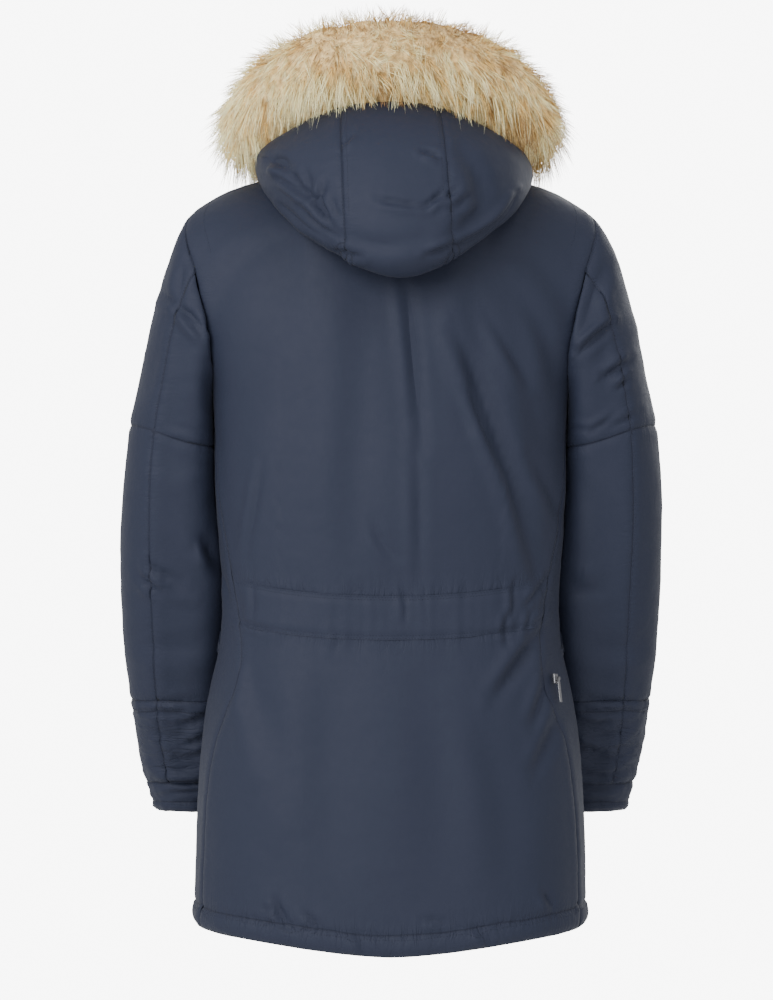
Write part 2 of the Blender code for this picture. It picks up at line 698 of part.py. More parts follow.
def sleeve_section(station, turn, side, wall_in=0.0):
    """A point of the left sleeve: station along the arm, turn 0 outside, a quarter turn the back."""
    stations = np.arange(len(SLEEVE_ROWS), dtype=float)
    value = {name: smooth(stations, table(SLEEVE_NAMES, SLEEVE_ROWS, name), station)
             for name in SLEEVE_NAMES}
    start, full, fade, end = FULLNESS_STATIONS
    fuller = ease((station - start) / (full - start)) * ease((end - station) / (end - fade))
    value["outer_x"] = value["outer_x"] + SLEEVE_FULLNESS[side] * fuller
    middle_x = (value["inner_x"] + value["outer_x"]) / 2
    middle_z = (value["inner_z"] + value["outer_z"]) / 2
    half_x = (value["outer_x"] - value["inner_x"]) / 2
    half_z = (value["outer_z"] - value["inner_z"]) / 2
    half = np.hypot(half_x, half_z)
    round_now = 2 + (SLEEVE_ROUNDNESS - 2) * ease(station / ROUND_STATIONS)
    cos, sin = np.cos(turn), np.sin(turn)
    reach = np.sign(cos) * np.abs(cos) ** (2 / round_now)
    bow = np.sign(sin) * np.abs(sin) ** (2 / round_now)
    share = (half - wall_in) / half
    depth = value["half_depth"] - wall_in
    x = middle_x + half_x * reach * share + bulge(turn) * ease(1 - station / BULGE_STATIONS)
    z = middle_z + half_z * reach * share
    return np.stack([x, value["centre_y"] + depth * bow, z], axis=-1)


def sleeve_piece(collection, name, side, first, last, columns, draw):
    """One cut piece of a sleeve between two stations and two lengthwise seams."""
    stations = np.arange(first, last + 1, dtype=float)
    turns = np.array(columns) * 2 * math.pi / SLEEVE_COLUMNS
    station_grid, turn_grid = np.meshgrid(stations, turns, indexing="ij")
    outer = sleeve_section(station_grid, turn_grid, side)
    inner = sleeve_section(station_grid, turn_grid, side, SLEEVE_WALL)
    outer = draw_in(outer, draw, SEAM_GAP / 2)
    inner = draw_in(inner, draw, SEAM_GAP / 2)
    if side < 0:
        outer, inner = mirrored(outer), mirrored(inner)
    return wall(name, outer, inner, collection)


def sleeve(collection, side):
    """The cut pieces of one sleeve and its cuff."""
    hand = "left" if side > 0 else "right"
    low, high = OUTER_HALF_COLUMNS
    halves = (("outer", list(range(low, high + 1))),
              ("under", list(range(high, low + SLEEVE_COLUMNS + 1))))
    lengths = (("upper", 0, ELBOW_STATION), ("elbow", ELBOW_STATION, BAND_STATION),
               ("lower", BAND_STATION, CUFF_STATION))
    for length, first, last in lengths:
        for half, columns in halves:
            draw = ["first_column", "last_column", "last_row"]
            if first:
                draw.append("first_row")
            sleeve_piece(collection, f"sleeve_{length}_{half}_{hand}", side, first, last,
                         columns, draw)
    stations = np.array([CUFF_STATION, CUFF_STATION + 0.5, CUFF_STATION + 1.0])
    turns = np.arange(SLEEVE_COLUMNS) * 2 * math.pi / SLEEVE_COLUMNS
    station_grid, turn_grid = np.meshgrid(stations, turns, indexing="ij")
    outer = draw_in(sleeve_section(station_grid, turn_grid, side), ["first_row"], SEAM_GAP / 2)
    inner = draw_in(sleeve_section(station_grid, turn_grid, side, SLEEVE_WALL), ["first_row"],
                    SEAM_GAP / 2)
    if side < 0:
        outer, inner = mirrored(outer), mirrored(inner)
    wall(f"cuff_{hand}", outer, inner, collection, closed=True)


def fur_station(along):
    """Middle point and thickness of the fur, from -1 (right end) over 0 (back) to 1."""
    along = np.asarray(along, dtype=float)
    steps = np.linspace(0, 1, len(FUR_ROWS))
    away = np.abs(along)
    x = smooth(steps, table(FUR_NAMES, FUR_ROWS, "x"), away) * np.sign(along)
    y = smooth_even(steps, "y", away)
    z = smooth_even(steps, "z", away)
    radius = smooth_even(steps, "radius", away)
    return np.stack([x, y, z], axis=-1), radius


def smooth_even(steps, name, away):
    """A column of the fur's table that is level at the centre back."""
    values = table(FUR_NAMES, FUR_ROWS, name)
    both_steps = np.concatenate([-steps[:0:-1], steps])
    both_values = np.concatenate([values[:0:-1], values])
    return smooth(both_steps, both_values, away)


def fur_frame(along):
    """Directions across the fur: out from the neck, and up over the trim."""
    step = 0.01
    ahead = fur_station(np.clip(along + step, -1, 1))[0]
    behind = fur_station(np.clip(along - step, -1, 1))[0]
    run = unit(ahead - behind)
    middle = fur_station(along)[0]
    from_neck = middle * np.array([1.0, 1.0, 0.0])
    from_neck = from_neck - run * np.sum(from_neck * run, axis=-1, keepdims=True)
    out = unit(from_neck)
    up = unit(np.cross(out, run))
    up = np.where(up[..., 2:3] < 0, -up, up)
    return out, up


def fur_surface(along, turn, grow=0.0):
    """A point on the fur's round outside: turn 0 faces out, a quarter turn up."""
    middle, radius = fur_station(along)
    out, up = fur_frame(along)
    droop = smooth_even(np.linspace(0, 1, len(FUR_ROWS)), "droop", np.abs(along))
    hang = 1 + droop * np.maximum(np.cos(turn - DROOP_TURN), 0) ** 2
    size = (radius * hang + grow)[..., None]
    return middle + size * (out * np.cos(turn)[..., None] + up * np.sin(turn)[..., None])


def fur_trim(collection):
    """The thick fur along the hood's rim, as tufts round its middle line."""
    along = np.linspace(-1, 1, FUR_STATIONS + 1)
    turns = np.arange(FUR_SIDES) * 2 * math.pi / FUR_SIDES
    along_grid, turn_grid = np.meshgrid(along, turns, indexing="ij")
    random = np.random.default_rng(FUR_SEED)
    tuft = random.uniform(-1.0, 1.0, along_grid.shape) * FUR_TUFT
    clear = np.cos(turn_grid - math.radians(RIM_DIP)) > RIM_SPREAD
    tuft = np.where(clear, -FUR_TUFT * 0.5, tuft)
    at_end = np.abs(along_grid) > FUR_END
    shrink = -fur_station(along_grid)[1] * np.where(at_end, FUR_END_SHRINK, 0.0)
    points = fur_surface(along_grid, turn_grid, tuft + shrink)
    vertices = list(points.reshape(-1, 3))
    faces = []
    for row in range(FUR_STATIONS):
        for side in range(FUR_SIDES):
            after = (side + 1) % FUR_SIDES
            a = row * FUR_SIDES + side
            b = row * FUR_SIDES + after
            faces.append((a, b, b + FUR_SIDES))
            faces.append((a, b + FUR_SIDES, a + FUR_SIDES))
    for row, flip in ((0, True), (FUR_STATIONS, False)):
        ring = [row * FUR_SIDES + side for side in range(FUR_SIDES)]
        middle = points[row].mean(axis=0)
        step = np.array([0.0, -FUR_END_REACH, 0.0])
        vertices.append(middle + step)
        tip = len(vertices) - 1
        for side in range(FUR_SIDES):
            pair = (ring[side], ring[(side + 1) % FUR_SIDES])
            faces.append((tip, pair[1], pair[0]) if flip else (tip, pair[0], pair[1]))
    return add_mesh("fur_trim", vertices, faces, "fur", collection)


def rim_point(turn):
    """Where the hood's cloth meets the underside of the fur, by degrees from the centre back."""
    away = np.abs(turn) / HOOD_FRONT_TURN
    along = np.sign(turn) * away * RIM_END
    dip = np.radians(RIM_DIP + RIM_DIP_SIDE * ease(away * RIM_DIP_FADE))
    return fur_surface(along, dip * np.ones_like(along), RIM_LIFT)


def hood_surface(turn, rise):
    """The hood's bag: rise 0 is the neck seam and 1 the rim under the fur."""
    turn = np.asarray(turn, dtype=float)
    away = np.abs(turn)
    side = np.where(turn < 0, -1.0, 1.0)
    angle = np.radians(away)
    rows = []
    for row in HOOD_ROWS:
        value = dict(zip(HOOD_NAMES, row))
        depth = np.where(away <= 90, value["back_depth"], value["front_depth"])
        heights = [value[name] for name in HOOD_NAMES[4:9]]
        both_turns = [-HOOD_TURNS[1]] + list(HOOD_TURNS)
        both_heights = [heights[1]] + heights
        z = smooth(both_turns, both_heights, away)
        x = side * value["half_width"] * np.sin(angle) + value["sway"] * np.cos(angle / 2) ** 2
        y = value["middle_y"] + depth * np.cos(angle)
        rows.append(np.stack([x, y, z], axis=-1))
    rows.append(rim_point(turn))
    rows = np.array(rows)
    steps = np.array(HOOD_STEPS)
    slopes = np.gradient(rows, steps, axis=0)
    low = np.clip(np.searchsorted(steps, rise) - 1, 0, len(steps) - 2)
    span = steps[low + 1] - steps[low]
    t = (rise - steps[low]) / span
    point = rows[low] * (2 * t**3 - 3 * t**2 + 1) + rows[low + 1] * (3 * t**2 - 2 * t**3)
    return point + span * (slopes[low] * (t**3 - 2 * t**2 + t) + slopes[low + 1] * (t**3 - t**2))


def keep_clear(points, trees, distance):
    """Moves a grid's points off the pieces beneath it, to a given distance."""
    moved = points.copy()
    for index in np.ndindex(points.shape[:2]):
        for tree in trees * CLEAR_PASSES:
            spot, facing = tree.find_nearest(Vector(moved[index]))[:2]
            away = Vector(moved[index]) - spot
            height = away.dot(facing)
            sideways = (away - facing * height).length
            if height < distance and sideways < HOOD_WALL:
                moved[index] += np.array(facing) * (distance - height)
    return moved


def hood(collection, trees):
    """Three panels of the lowered hood."""
    steps = np.array(HOOD_STEPS)
    rises = np.sort(np.concatenate([steps, (steps[1:] + steps[:-1]) / 2]))
    seam = HOOD_SEAM_TURN
    centre = np.linspace(-seam, seam, HOOD_CENTRE_COLUMNS + 1)
    outside = np.linspace(seam, HOOD_FRONT_TURN, HOOD_SIDE_COLUMNS + 1)
    turns = np.concatenate([-outside[::-1], centre[1:-1], outside])
    base = np.array([hood_surface(turns, rise) for rise in rises])
    base = keep_clear(base, trees, HOOD_CLEAR)
    base[-1] = rim_point(turns)
    normal = -normals_of(base)
    inner = keep_clear(base - normal * HOOD_WALL, trees, HOOD_CLEAR)
    left = HOOD_SIDE_COLUMNS
    right = left + HOOD_CENTRE_COLUMNS
    pieces = (("hood_right", 0, left, ["last_column"]),
              ("hood_centre", left, right, ["first_column", "last_column"]),
              ("hood_left", right, len(turns) - 1, ["first_column"]))
    for name, start, end, draw in pieces:
        cut = slice(start, end + 1)
        wall(name, draw_in(base[:, cut], draw, SEAM_GAP / 2),
             draw_in(inner[:, cut], draw, SEAM_GAP / 2), collection)


def waist_channel(collection, outer, normal):
    """The drawcord channel, made from the back's own points, moved out."""
    first = int(np.argmin(np.abs(lower_rises() - CHANNEL_LOW)))
    rows = slice(first, first + 3)
    under = outer[rows] + normal[rows] * SEAM_GAP
    over = outer[rows] + normal[rows] * (SEAM_GAP + CHANNEL_WALL)
    edges = ["first_column", "last_column"]
    wall("waist_channel", draw_in(over, edges, CHANNEL_END), draw_in(under, edges, CHANNEL_END),
         collection)


def collar(collection):
    """The stand collar, from one edge of the zip round the neck to the other."""
    front = 180 - math.degrees(math.asin(FRONT_SLOT / 2 / NECK_HALF_WIDTH))
    turns = np.linspace(-front, front, COLLAR_COLUMNS + 1)
    away = np.abs(turns)
    low, high = COLLAR_RISE_TURNS
    height = COLLAR_BACK + (COLLAR_FRONT - COLLAR_BACK) * ease((away - low) / (high - low))
    outer, inner = [], []
    for rise in np.linspace(0, 1, COLLAR_ROWS):
        lean = COLLAR_LEAN * math.sin(math.pi * rise)
        row = neck_point(away, -lean, SEAM_GAP + height * rise)
        inside = neck_point(away, -lean - COLLAR_WALL, SEAM_GAP + height * rise)
        row[:, 0] *= np.sign(turns)
        inside[:, 0] *= np.sign(turns)
        outer.append(row)
        inner.append(inside)
    outer, inner = np.array(outer), np.array(inner)
    for grid in (outer, inner):
        grid[:, 0, 0] = -FRONT_SLOT / 2
        grid[:, -1, 0] = FRONT_SLOT / 2
    return wall("collar", outer, inner, collection)


def front_line():
    """The centre front from the hem to the collar's top, on the outside of the cloth."""
    lower = [lower_body(np.array([2.0]), rise)[0] for rise in lower_rises()]
    upper = [upper_body(np.array([0.0]), np.array([rise]), True)[0]
             for rise in np.linspace(0, 1, UPPER_ROWS + 1)[1:]]
    top = [neck_point(180.0, 0.0, COLLAR_FRONT * share) for share in COLLAR_ZIP_STEPS]
    line = np.array(lower + upper + top)
    line[:, 0] = 0.0
    line[0, 2] += ZIP_HEM
    return line


def front_zip(collection):
    """The closed zip between the fronts."""
    line = front_line()
    half = FRONT_SLOT / 2 - SEAM_GAP
    columns = np.array([[-half, 0, 0], [0, 0, 0], [half, 0, 0]])
    outer = line[:, None, :] + columns[None] + np.array([0, ZIP_RECESS, 0])
    inner = outer + np.array([0, ZIP_DEPTH, 0])
    wall("front_zip", outer, inner, collection, "zip")
    return line


def cloth_under(panel):
    """A search tree over the outside of a piece."""
    vertices = [v.co.copy() for v in panel.data.vertices]
    faces = [tuple(face.vertices) for face in panel.data.polygons]
    return BVHTree.FromPolygons(vertices, faces[:OUTSIDE_FACES.get(panel.name, len(faces))])


def pocket_zip(collection, panel, side):
    """A zip strip laid slantwise on a front panel, with the point where its slider sits."""
    tree = cloth_under(panel)
    steps = np.linspace(0, 1, POCKET_STEPS + 1)
    outer, inner = [], []
    middle = []
    for step in steps:
        place = POCKET_LOW[0] + (POCKET_HIGH[0] - POCKET_LOW[0]) * step
        height = POCKET_LOW[1] + (POCKET_HIGH[1] - POCKET_LOW[1]) * step
        x, y = section(place, height)
        middle.append((side * float(x), float(y), height))
    middle = np.array(middle)
    run = unit(np.gradient(middle, axis=0))
    for point, along in zip(middle, run):
        spot, facing = tree.find_nearest(Vector(point))[:2]
        if facing.dot(Vector((point[0], point[1], 0))) < 0:
            facing = -facing
        across = np.cross(np.array(facing), along)
        row_over, row_under = [], []
        for share in (-1, 0, 1):
            place = Vector(np.array(spot) + across * POCKET_STRIP / 2 * share)
            on_cloth, normal = tree.find_nearest(place)[:2]
            if normal.dot(facing) < 0:
                normal = -normal
            row_over.append(np.array(on_cloth + facing * (POCKET_LIFT + ZIP_WALL)))
            row_under.append(np.array(on_cloth + facing * POCKET_LIFT))
        outer.append(row_over)
        inner.append(row_under)
    hand = "left" if side > 0 else "right"
    outer, inner = np.array(outer), np.array(inner)
    wall(f"pocket_zip_{hand}", outer, inner, collection, "zip")
    row = 1 if side < 0 else len(outer) - 2
    seat = Vector(outer[row, 1])
    facing = Vector(outer[row, 1] - inner[row, 1]).normalized()
    return seat, facing


def pull_frame(seat, facing, tilt):
    """Where a slider stands: its zip runs up the local Y axis and its face looks along Z."""
    up = (Vector((0, 0, 1)) - facing * facing.z).normalized()
    up = Matrix.Rotation(tilt, 3, facing) @ up
    across = up.cross(facing)
    axes = Matrix((across, up, facing)).transposed().to_4x4()
    return Matrix.Translation(seat + facing * SEAM_GAP) @ axes


def block(size, centre):
    """A box as a mesh object, for joining."""
    mesh = bpy.data.meshes.new("block")
    work = bmesh.new()
    bmesh.ops.create_cube(work, size=1.0)
    bmesh.ops.scale(work, vec=size, verts=work.verts)
    bmesh.ops.translate(work, vec=centre, verts=work.verts)
    work.to_mesh(mesh)
    work.free()
    return bpy.data.objects.new("block", mesh)


def rod(radius, length, centre, sides=ROD_SIDES):
    """A round bar along the local X axis, for joining."""
    mesh = bpy.data.meshes.new("rod")
    work = bmesh.new()
    bmesh.ops.create_cone(work, cap_ends=True, segments=sides, radius1=radius, radius2=radius,
                          depth=length)
    bmesh.ops.rotate(work, matrix=Matrix.Rotation(math.pi / 2, 3, "Y"), verts=work.verts)
    bmesh.ops.translate(work, vec=centre, verts=work.verts)
    work.to_mesh(mesh)
    work.free()
    return bpy.data.objects.new("rod", mesh)


def soften(thing, width):
    """Rounds the edges of a block with a bevel."""
    work = bmesh.new()
    work.from_mesh(thing.data)
    bmesh.ops.bevel(work, geom=work.edges[:], offset=width, segments=2, profile=0.5,
                    affect="EDGES")
    work.to_mesh(thing.data)
    work.free()
    return thing


def joined(name, first, others, holes, frame, collection):
    """One metal piece out of parts joined and holes cut, placed by its frame."""
    bpy.context.scene.collection.objects.link(first)
    steps = [(other, "UNION") for other in others] + [(hole, "DIFFERENCE") for hole in holes]
    for other, operation in steps:
        bpy.context.scene.collection.objects.link(other)
        modifier = first.modifiers.new("join", "BOOLEAN")
        modifier.operation = operation
        modifier.solver = "EXACT"
        modifier.object = other
    bpy.context.view_layer.update()
    mesh = bpy.data.meshes.new_from_object(first.evaluated_get(
        bpy.context.evaluated_depsgraph_get()))
    mesh.name = name
    mesh.materials.clear()
    mesh.materials.append(new_material(name, "metal"))
    for other, _ in steps:
        bpy.data.objects.remove(other, do_unlink=True)
    bpy.data.objects.remove(first, do_unlink=True)
    piece = bpy.data.objects.new(name, mesh)
    piece.matrix_world = frame
    collection.objects.link(piece)
    return piece


def slider_and_tab(collection, name, frame):
    """A zip's slider, with a bar between two cheeks, and the tab that swings on the bar."""
    top = SLIDER_SIZE[2]
    rod_z = top + ROD_LIFT
    base = soften(block(SLIDER_SIZE, (0, 0, top / 2)), SLIDER_BEVEL)
    cheek_x = CHEEK_SPREAD / 2 + CHEEK_SIZE[0] / 2
    cheek_z = top + CHEEK_SIZE[2] / 2 - CHEEK_SINK
    cheeks = [block(CHEEK_SIZE, (side * cheek_x, 0, cheek_z)) for side in (1, -1)]
    bar = rod(ROD_RADIUS, CHEEK_SPREAD + CHEEK_SIZE[0], (0, 0, rod_z))
    joined(f"{name}_slider", base, cheeks + [bar], [], frame, collection)
    eye_length = CHEEK_SPREAD - 2 * SEAM_GAP
    eye = rod(EYE_RADIUS, eye_length, (0, 0, 0), EYE_SIDES)
    neck = block((NECK_WIDTH, NECK_LENGTH, TAB_WALL), (0, -NECK_DROP, 0))
    plate_length = TAB_LENGTH - PLATE_START
    plate_middle = -PLATE_START - plate_length / 2
    plate = soften(block((TAB_WIDTH, plate_length, TAB_WALL), (0, plate_middle, 0)), TAB_BEVEL)
    hole = rod(EYE_HOLE, HOLE_LENGTH, (0, 0, 0), EYE_SIDES)
    swing = frame @ Matrix.Translation((0, 0, rod_z))
    return joined(f"{name}_tab", eye, [neck, plate], [hole], swing, collection)


def build():
    """Every piece of the parka."""
    for thing in list(bpy.data.objects):
        bpy.data.objects.remove(thing, do_unlink=True)
    collection = bpy.data.collections.new("fur_trimmed_parka")
    bpy.context.scene.collection.children.link(collection)
    panel, outer, normal = back_panel(collection)
    waist_channel(collection, outer, normal)
    panels = [panel]
    for side in (1, -1):
        hand = "left" if side > 0 else "right"
        panel = front_panel(collection, side)
        sleeve(collection, side)
        seat, facing = pocket_zip(collection, panel, side)
        slider_and_tab(collection, f"pocket_{hand}", pull_frame(seat, facing, PULL_TILT * side))
        panels.append(panel)
    fur = fur_trim(collection)
    stand = collar(collection)
    hood(collection, [cloth_under(piece) for piece in panels + [fur, stand]])
    line = front_zip(collection)
    seat = Vector(line[-2]) + Vector((0, ZIP_RECESS, 0))
    slider_and_tab(collection, "front", pull_frame(seat, Vector((0, -1, 0)), 0.0))


build()
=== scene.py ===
import math

import bmesh
import bpy
import numpy as np
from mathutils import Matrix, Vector, noise
from mathutils.bvhtree import BVHTree
from mathutils.kdtree import KDTree


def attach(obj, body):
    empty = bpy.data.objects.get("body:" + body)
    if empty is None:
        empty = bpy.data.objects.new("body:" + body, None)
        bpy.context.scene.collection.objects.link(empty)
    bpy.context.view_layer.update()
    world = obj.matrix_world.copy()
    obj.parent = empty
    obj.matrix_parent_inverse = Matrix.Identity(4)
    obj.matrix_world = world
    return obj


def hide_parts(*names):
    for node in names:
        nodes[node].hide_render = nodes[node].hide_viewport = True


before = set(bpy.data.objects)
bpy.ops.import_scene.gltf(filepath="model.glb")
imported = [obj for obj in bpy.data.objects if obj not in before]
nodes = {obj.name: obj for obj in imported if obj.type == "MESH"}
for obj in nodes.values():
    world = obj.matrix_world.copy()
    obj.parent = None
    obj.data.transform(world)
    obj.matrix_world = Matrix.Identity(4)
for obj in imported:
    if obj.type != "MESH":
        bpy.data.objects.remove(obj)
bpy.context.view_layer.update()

mm = 0.001   # lengths are in metres

studio = {
    "cameraPlace": (0.0043, 3.65, -0.348),
    "lens": 117.8,
    "floorHeight": -1.55,
    "floorSize": 24.0,
    "floorPlace": (0, 7.9),
    "floorTones": (0.80, 0.84),
    "backdrop": (1, 1, 1),
    "backdropLight": 8.2,
    "roomLight": 1.05,
    # power, size, place and aim of each light
    "lights": {
        "keyLight": (156.0, 2.2, (1.85, 2.85, 0.95), (0, 0, -0.35)),
        "fillLight": (23.0, 2.5, (-1.0, 3.4, -0.1), (0, 0, -0.35)),
        "frontLight": (60.0, 2.5, (-1.6, -3.0, 1.2), (0, 0, -0.35)),
        "topLight": (11.0, 0.9, (-0.8, 1.5, 1.6), (-0.1, 0.1, 0.05)),
    },
}


def deselectAll():
    if bpy.context.object and bpy.context.object.mode != "OBJECT":
        bpy.ops.object.mode_set(mode="OBJECT")
    bpy.ops.object.select_all(action="DESELECT")


def makeActive(thing):
    deselectAll()
    thing.select_set(True)
    bpy.context.view_layer.objects.active = thing


def applyModifiers(thing):
    makeActive(thing)
    for modifier in list(thing.modifiers):
        bpy.ops.object.modifier_apply(modifier=modifier.name)


def unit(vectors):
    return vectors / np.maximum(np.linalg.norm(vectors, axis=1, keepdims=True), 1e-12)


def softStep(value):
    value = np.clip(value, 0, 1)
    return value * value * (3 - 2 * value)


def nearestOf(spots):
    # finds which of the given spots lies nearest
    tree = KDTree(len(spots))
    for index, spot in enumerate(spots):
        tree.insert(spot, index)
    tree.balance()
    return tree


def surfaceOf(thing, faces):
    return BVHTree.FromPolygons([v.co for v in thing.data.vertices], [list(f.vertices) for f in faces])


def feed(tree, node, values):
    # gives each named input its value or its link
    for label, value in values.items():
        if isinstance(value, bpy.types.NodeSocket):
            tree.links.new(value, node.inputs[label])
        else:
            node.inputs[label].default_value = value


def addNode(tree, kind, values=None, **settings):
    node = tree.nodes.new("ShaderNode" + kind)
    for name, value in settings.items():
        setattr(node, name, value)
    feed(tree, node, values or {})
    return node


def maths(tree, operation, *values):
    return addNode(tree, "Math", dict(enumerate(values)), operation=operation).outputs[0]


def clouds(tree, place, scale, detail, distortion=0.0):
    values = {"Vector": place, "Scale": scale, "Detail": detail, "Distortion": distortion}
    return addNode(tree, "TexNoise", values).outputs["Fac"]


def bumped(tree, height, distance, strength, normal=None):
    values = {"Height": height, "Distance": distance, "Strength": strength}
    if normal is not None:
        values["Normal"] = normal
    return addNode(tree, "Bump", values).outputs["Normal"]


def mixed(tree, share, first, second, blend="MIX"):
    values = {"Factor": share, "A": first, "B": second}
    return addNode(tree, "Mix", values, data_type="RGBA", blend_type=blend).outputs["Result"]


def ramped(tree, value, stops):
    node = addNode(tree, "ValToRGB", {"Fac": value})
    while len(node.color_ramp.elements) < len(stops):
        node.color_ramp.elements.new(0.5)
    for element, (place, colour) in zip(node.color_ramp.elements, stops):
        element.position = place
        element.color = (*colour, 1)
    return node.outputs["Color"]


def newMaterial(name):
    material = bpy.data.materials.new(name)
    material.use_nodes = True
    return material, material.node_tree, material.node_tree.nodes["Principled BSDF"]


def addAreaLight(name, power, size, place, target):
    light = bpy.data.lights.new(name, "AREA")
    light.energy = power
    light.size = size
    lamp = bpy.data.objects.new(name, light)
    lamp.location = place
    lamp.rotation_euler = (Vector(target) - Vector(place)).to_track_quat("-Z", "Y").to_euler()
    bpy.context.scene.collection.objects.link(lamp)


def buildStudio():
    cameraData = bpy.data.cameras.new("studioCamera")
    cameraData.sensor_fit = "VERTICAL"
    cameraData.sensor_height = 36
    cameraData.lens = studio["lens"]
    camera = bpy.data.objects.new("studioCamera", cameraData)
    camera.location = studio["cameraPlace"]
    camera.rotation_euler = (math.radians(90), 0, math.radians(180))
    bpy.context.scene.collection.objects.link(camera)
    bpy.context.scene.camera = camera

    deselectAll()
    place = (*studio["floorPlace"], studio["floorHeight"])
    bpy.ops.mesh.primitive_plane_add(size=studio["floorSize"], location=place)
    floor = bpy.context.object
    floor.name = "studioFloor"
    floorPaint, paint, shader = newMaterial("paleFloor")
    speckle = addNode(paint, "TexNoise", {"Scale": 3.0}).outputs["Fac"]
    low, high = studio["floorTones"]
    tone = ramped(paint, speckle, [(0.0, (low, low, low)), (1.0, (high, high, high))])
    feed(paint, shader, {"Base Color": tone, "Roughness": 0.8})
    floor.data.materials.append(floorPaint)

    world = bpy.data.worlds.new("studioRoom")
    bpy.context.scene.world = world
    world.use_nodes = True
    room = world.node_tree
    air = room.nodes["Background"]
    feed(room, air, {"Color": (1, 1, 1, 1), "Strength": studio["roomLight"]})
    light = {"Color": (*studio["backdrop"], 1), "Strength": studio["backdropLight"]}
    seen = addNode(room, "Background", light)
    isSeen = addNode(room, "LightPath").outputs["Is Camera Ray"]
    shares = {"Fac": isSeen, 1: air.outputs["Background"], 2: seen.outputs["Background"]}
    mix = addNode(room, "MixShader", shares)
    feed(room, room.nodes["World Output"], {"Surface": mix.outputs["Shader"]})
    for name, values in studio["lights"].items():
        addAreaLight(name, *values)
    print("studio ready")


def newGroup(name, inputs, outputs):
    group = bpy.data.node_groups.new(name, "ShaderNodeTree")
    for label, kind, value in inputs:
        socket = group.interface.new_socket(name=label, in_out="INPUT", socket_type=kind)
        socket.default_value = value
    for label, kind in outputs:
        group.interface.new_socket(name=label, in_out="OUTPUT", socket_type=kind)
    return group, group.nodes.new("NodeGroupInput").outputs, group.nodes.new("NodeGroupOutput")


def buildWeaveGroup():
    # fine plain weave with slubs and a slow drift of tone
    group, given, end = newGroup(
        "wovenCloth",
        [("Thread", "NodeSocketColor", (0.03, 0.04, 0.07, 1)),
         ("Worn", "NodeSocketColor", (0.05, 0.06, 0.09, 1)),
         ("Weave Scale", "NodeSocketFloat", 2200.0),
         ("Weave Depth", "NodeSocketFloat", 0.25),
         ("Drift", "NodeSocketFloat", 0.35)],
        [("Color", "NodeSocketColor"), ("Roughness", "NodeSocketFloat"), ("Normal", "NodeSocketVector")])
    coords = addNode(group, "TexCoord").outputs["Object"]
    wave = {"Vector": coords, "Scale": given["Weave Scale"],
            "Distortion": 0.6, "Detail": 1.0, "Detail Scale": 0.4}
    threads = [addNode(group, "TexWave", wave, bands_direction=way).outputs["Fac"] for way in ("X", "Z")]
    weave = maths(group, "MULTIPLY", *threads)
    crinkle = clouds(group, coords, 120.0, 4.0)
    rumple = clouds(group, coords, 24.0, 5.0, 0.8)
    drift = clouds(group, coords, 9.0, 3.0)
    normal = bumped(group, rumple, 0.003, 0.22)
    normal = bumped(group, crinkle, 0.0006, 0.35, normal)
    normal = bumped(group, weave, 0.00006, given["Weave Depth"], normal)
    colour = mixed(group, maths(group, "MULTIPLY", drift, given["Drift"]), given["Thread"], given["Worn"])
    rough = addNode(group, "MapRange", {"Value": crinkle, "To Min": 0.58, "To Max": 0.70})
    feed(group, end, {"Color": colour, "Roughness": rough.outputs["Result"], "Normal": normal})
    return group


weaveGroup = buildWeaveGroup()


def buildSeamGroup():
    # sunk lines at seams and stitched edges, and small crisp creases beside them; the lines also darken
    # the cloth's colour as painted shade
    group, given, end = newGroup(
        "seamsAndCreases",
        [("Seam Away", "NodeSocketFloat", 60.0), ("Hem Away", "NodeSocketFloat", 60.0),
         ("Rumple", "NodeSocketFloat", 0.0), ("Line Width", "NodeSocketFloat", 1.0)],
        [("Height", "NodeSocketFloat"), ("Line", "NodeSocketFloat")])
    lines = []
    for label in ("Seam Away", "Hem Away"):
        away = maths(group, "DIVIDE", given[label], given["Line Width"])
        squared = maths(group, "MULTIPLY", away, away)
        lines.append(maths(group, "EXPONENT", maths(group, "MULTIPLY", squared, -1.0)))
    line = maths(group, "MAXIMUM", *lines)
    coords = addNode(group, "TexCoord").outputs["Object"]
    creases = []
    for stretch, sign in (((26, 26, 95), 1.0), ((95, 95, 22), -1.0)):
        place = addNode(group, "Mapping", {"Vector": coords, "Scale": stretch}).outputs["Vector"]
        folds = clouds(group, place, 1.0, 2.0, 0.9)
        ridge = maths(group, "ABSOLUTE", maths(group, "SUBTRACT", folds, 0.5))
        capped = maths(group, "MINIMUM", maths(group, "MULTIPLY", ridge, 5.0), 1.0)
        amount = maths(group, "MAXIMUM", maths(group, "MULTIPLY", given["Rumple"], sign), 0.0)
        creases.append(maths(group, "MULTIPLY", maths(group, "POWER", capped, 0.6), amount))
    height = maths(group, "SUBTRACT", maths(group, "ADD", *creases), maths(group, "MULTIPLY", line, 0.5))
    feed(group, end, {"Height": height, "Line": line})
    return group


seamGroup = buildSeamGroup()


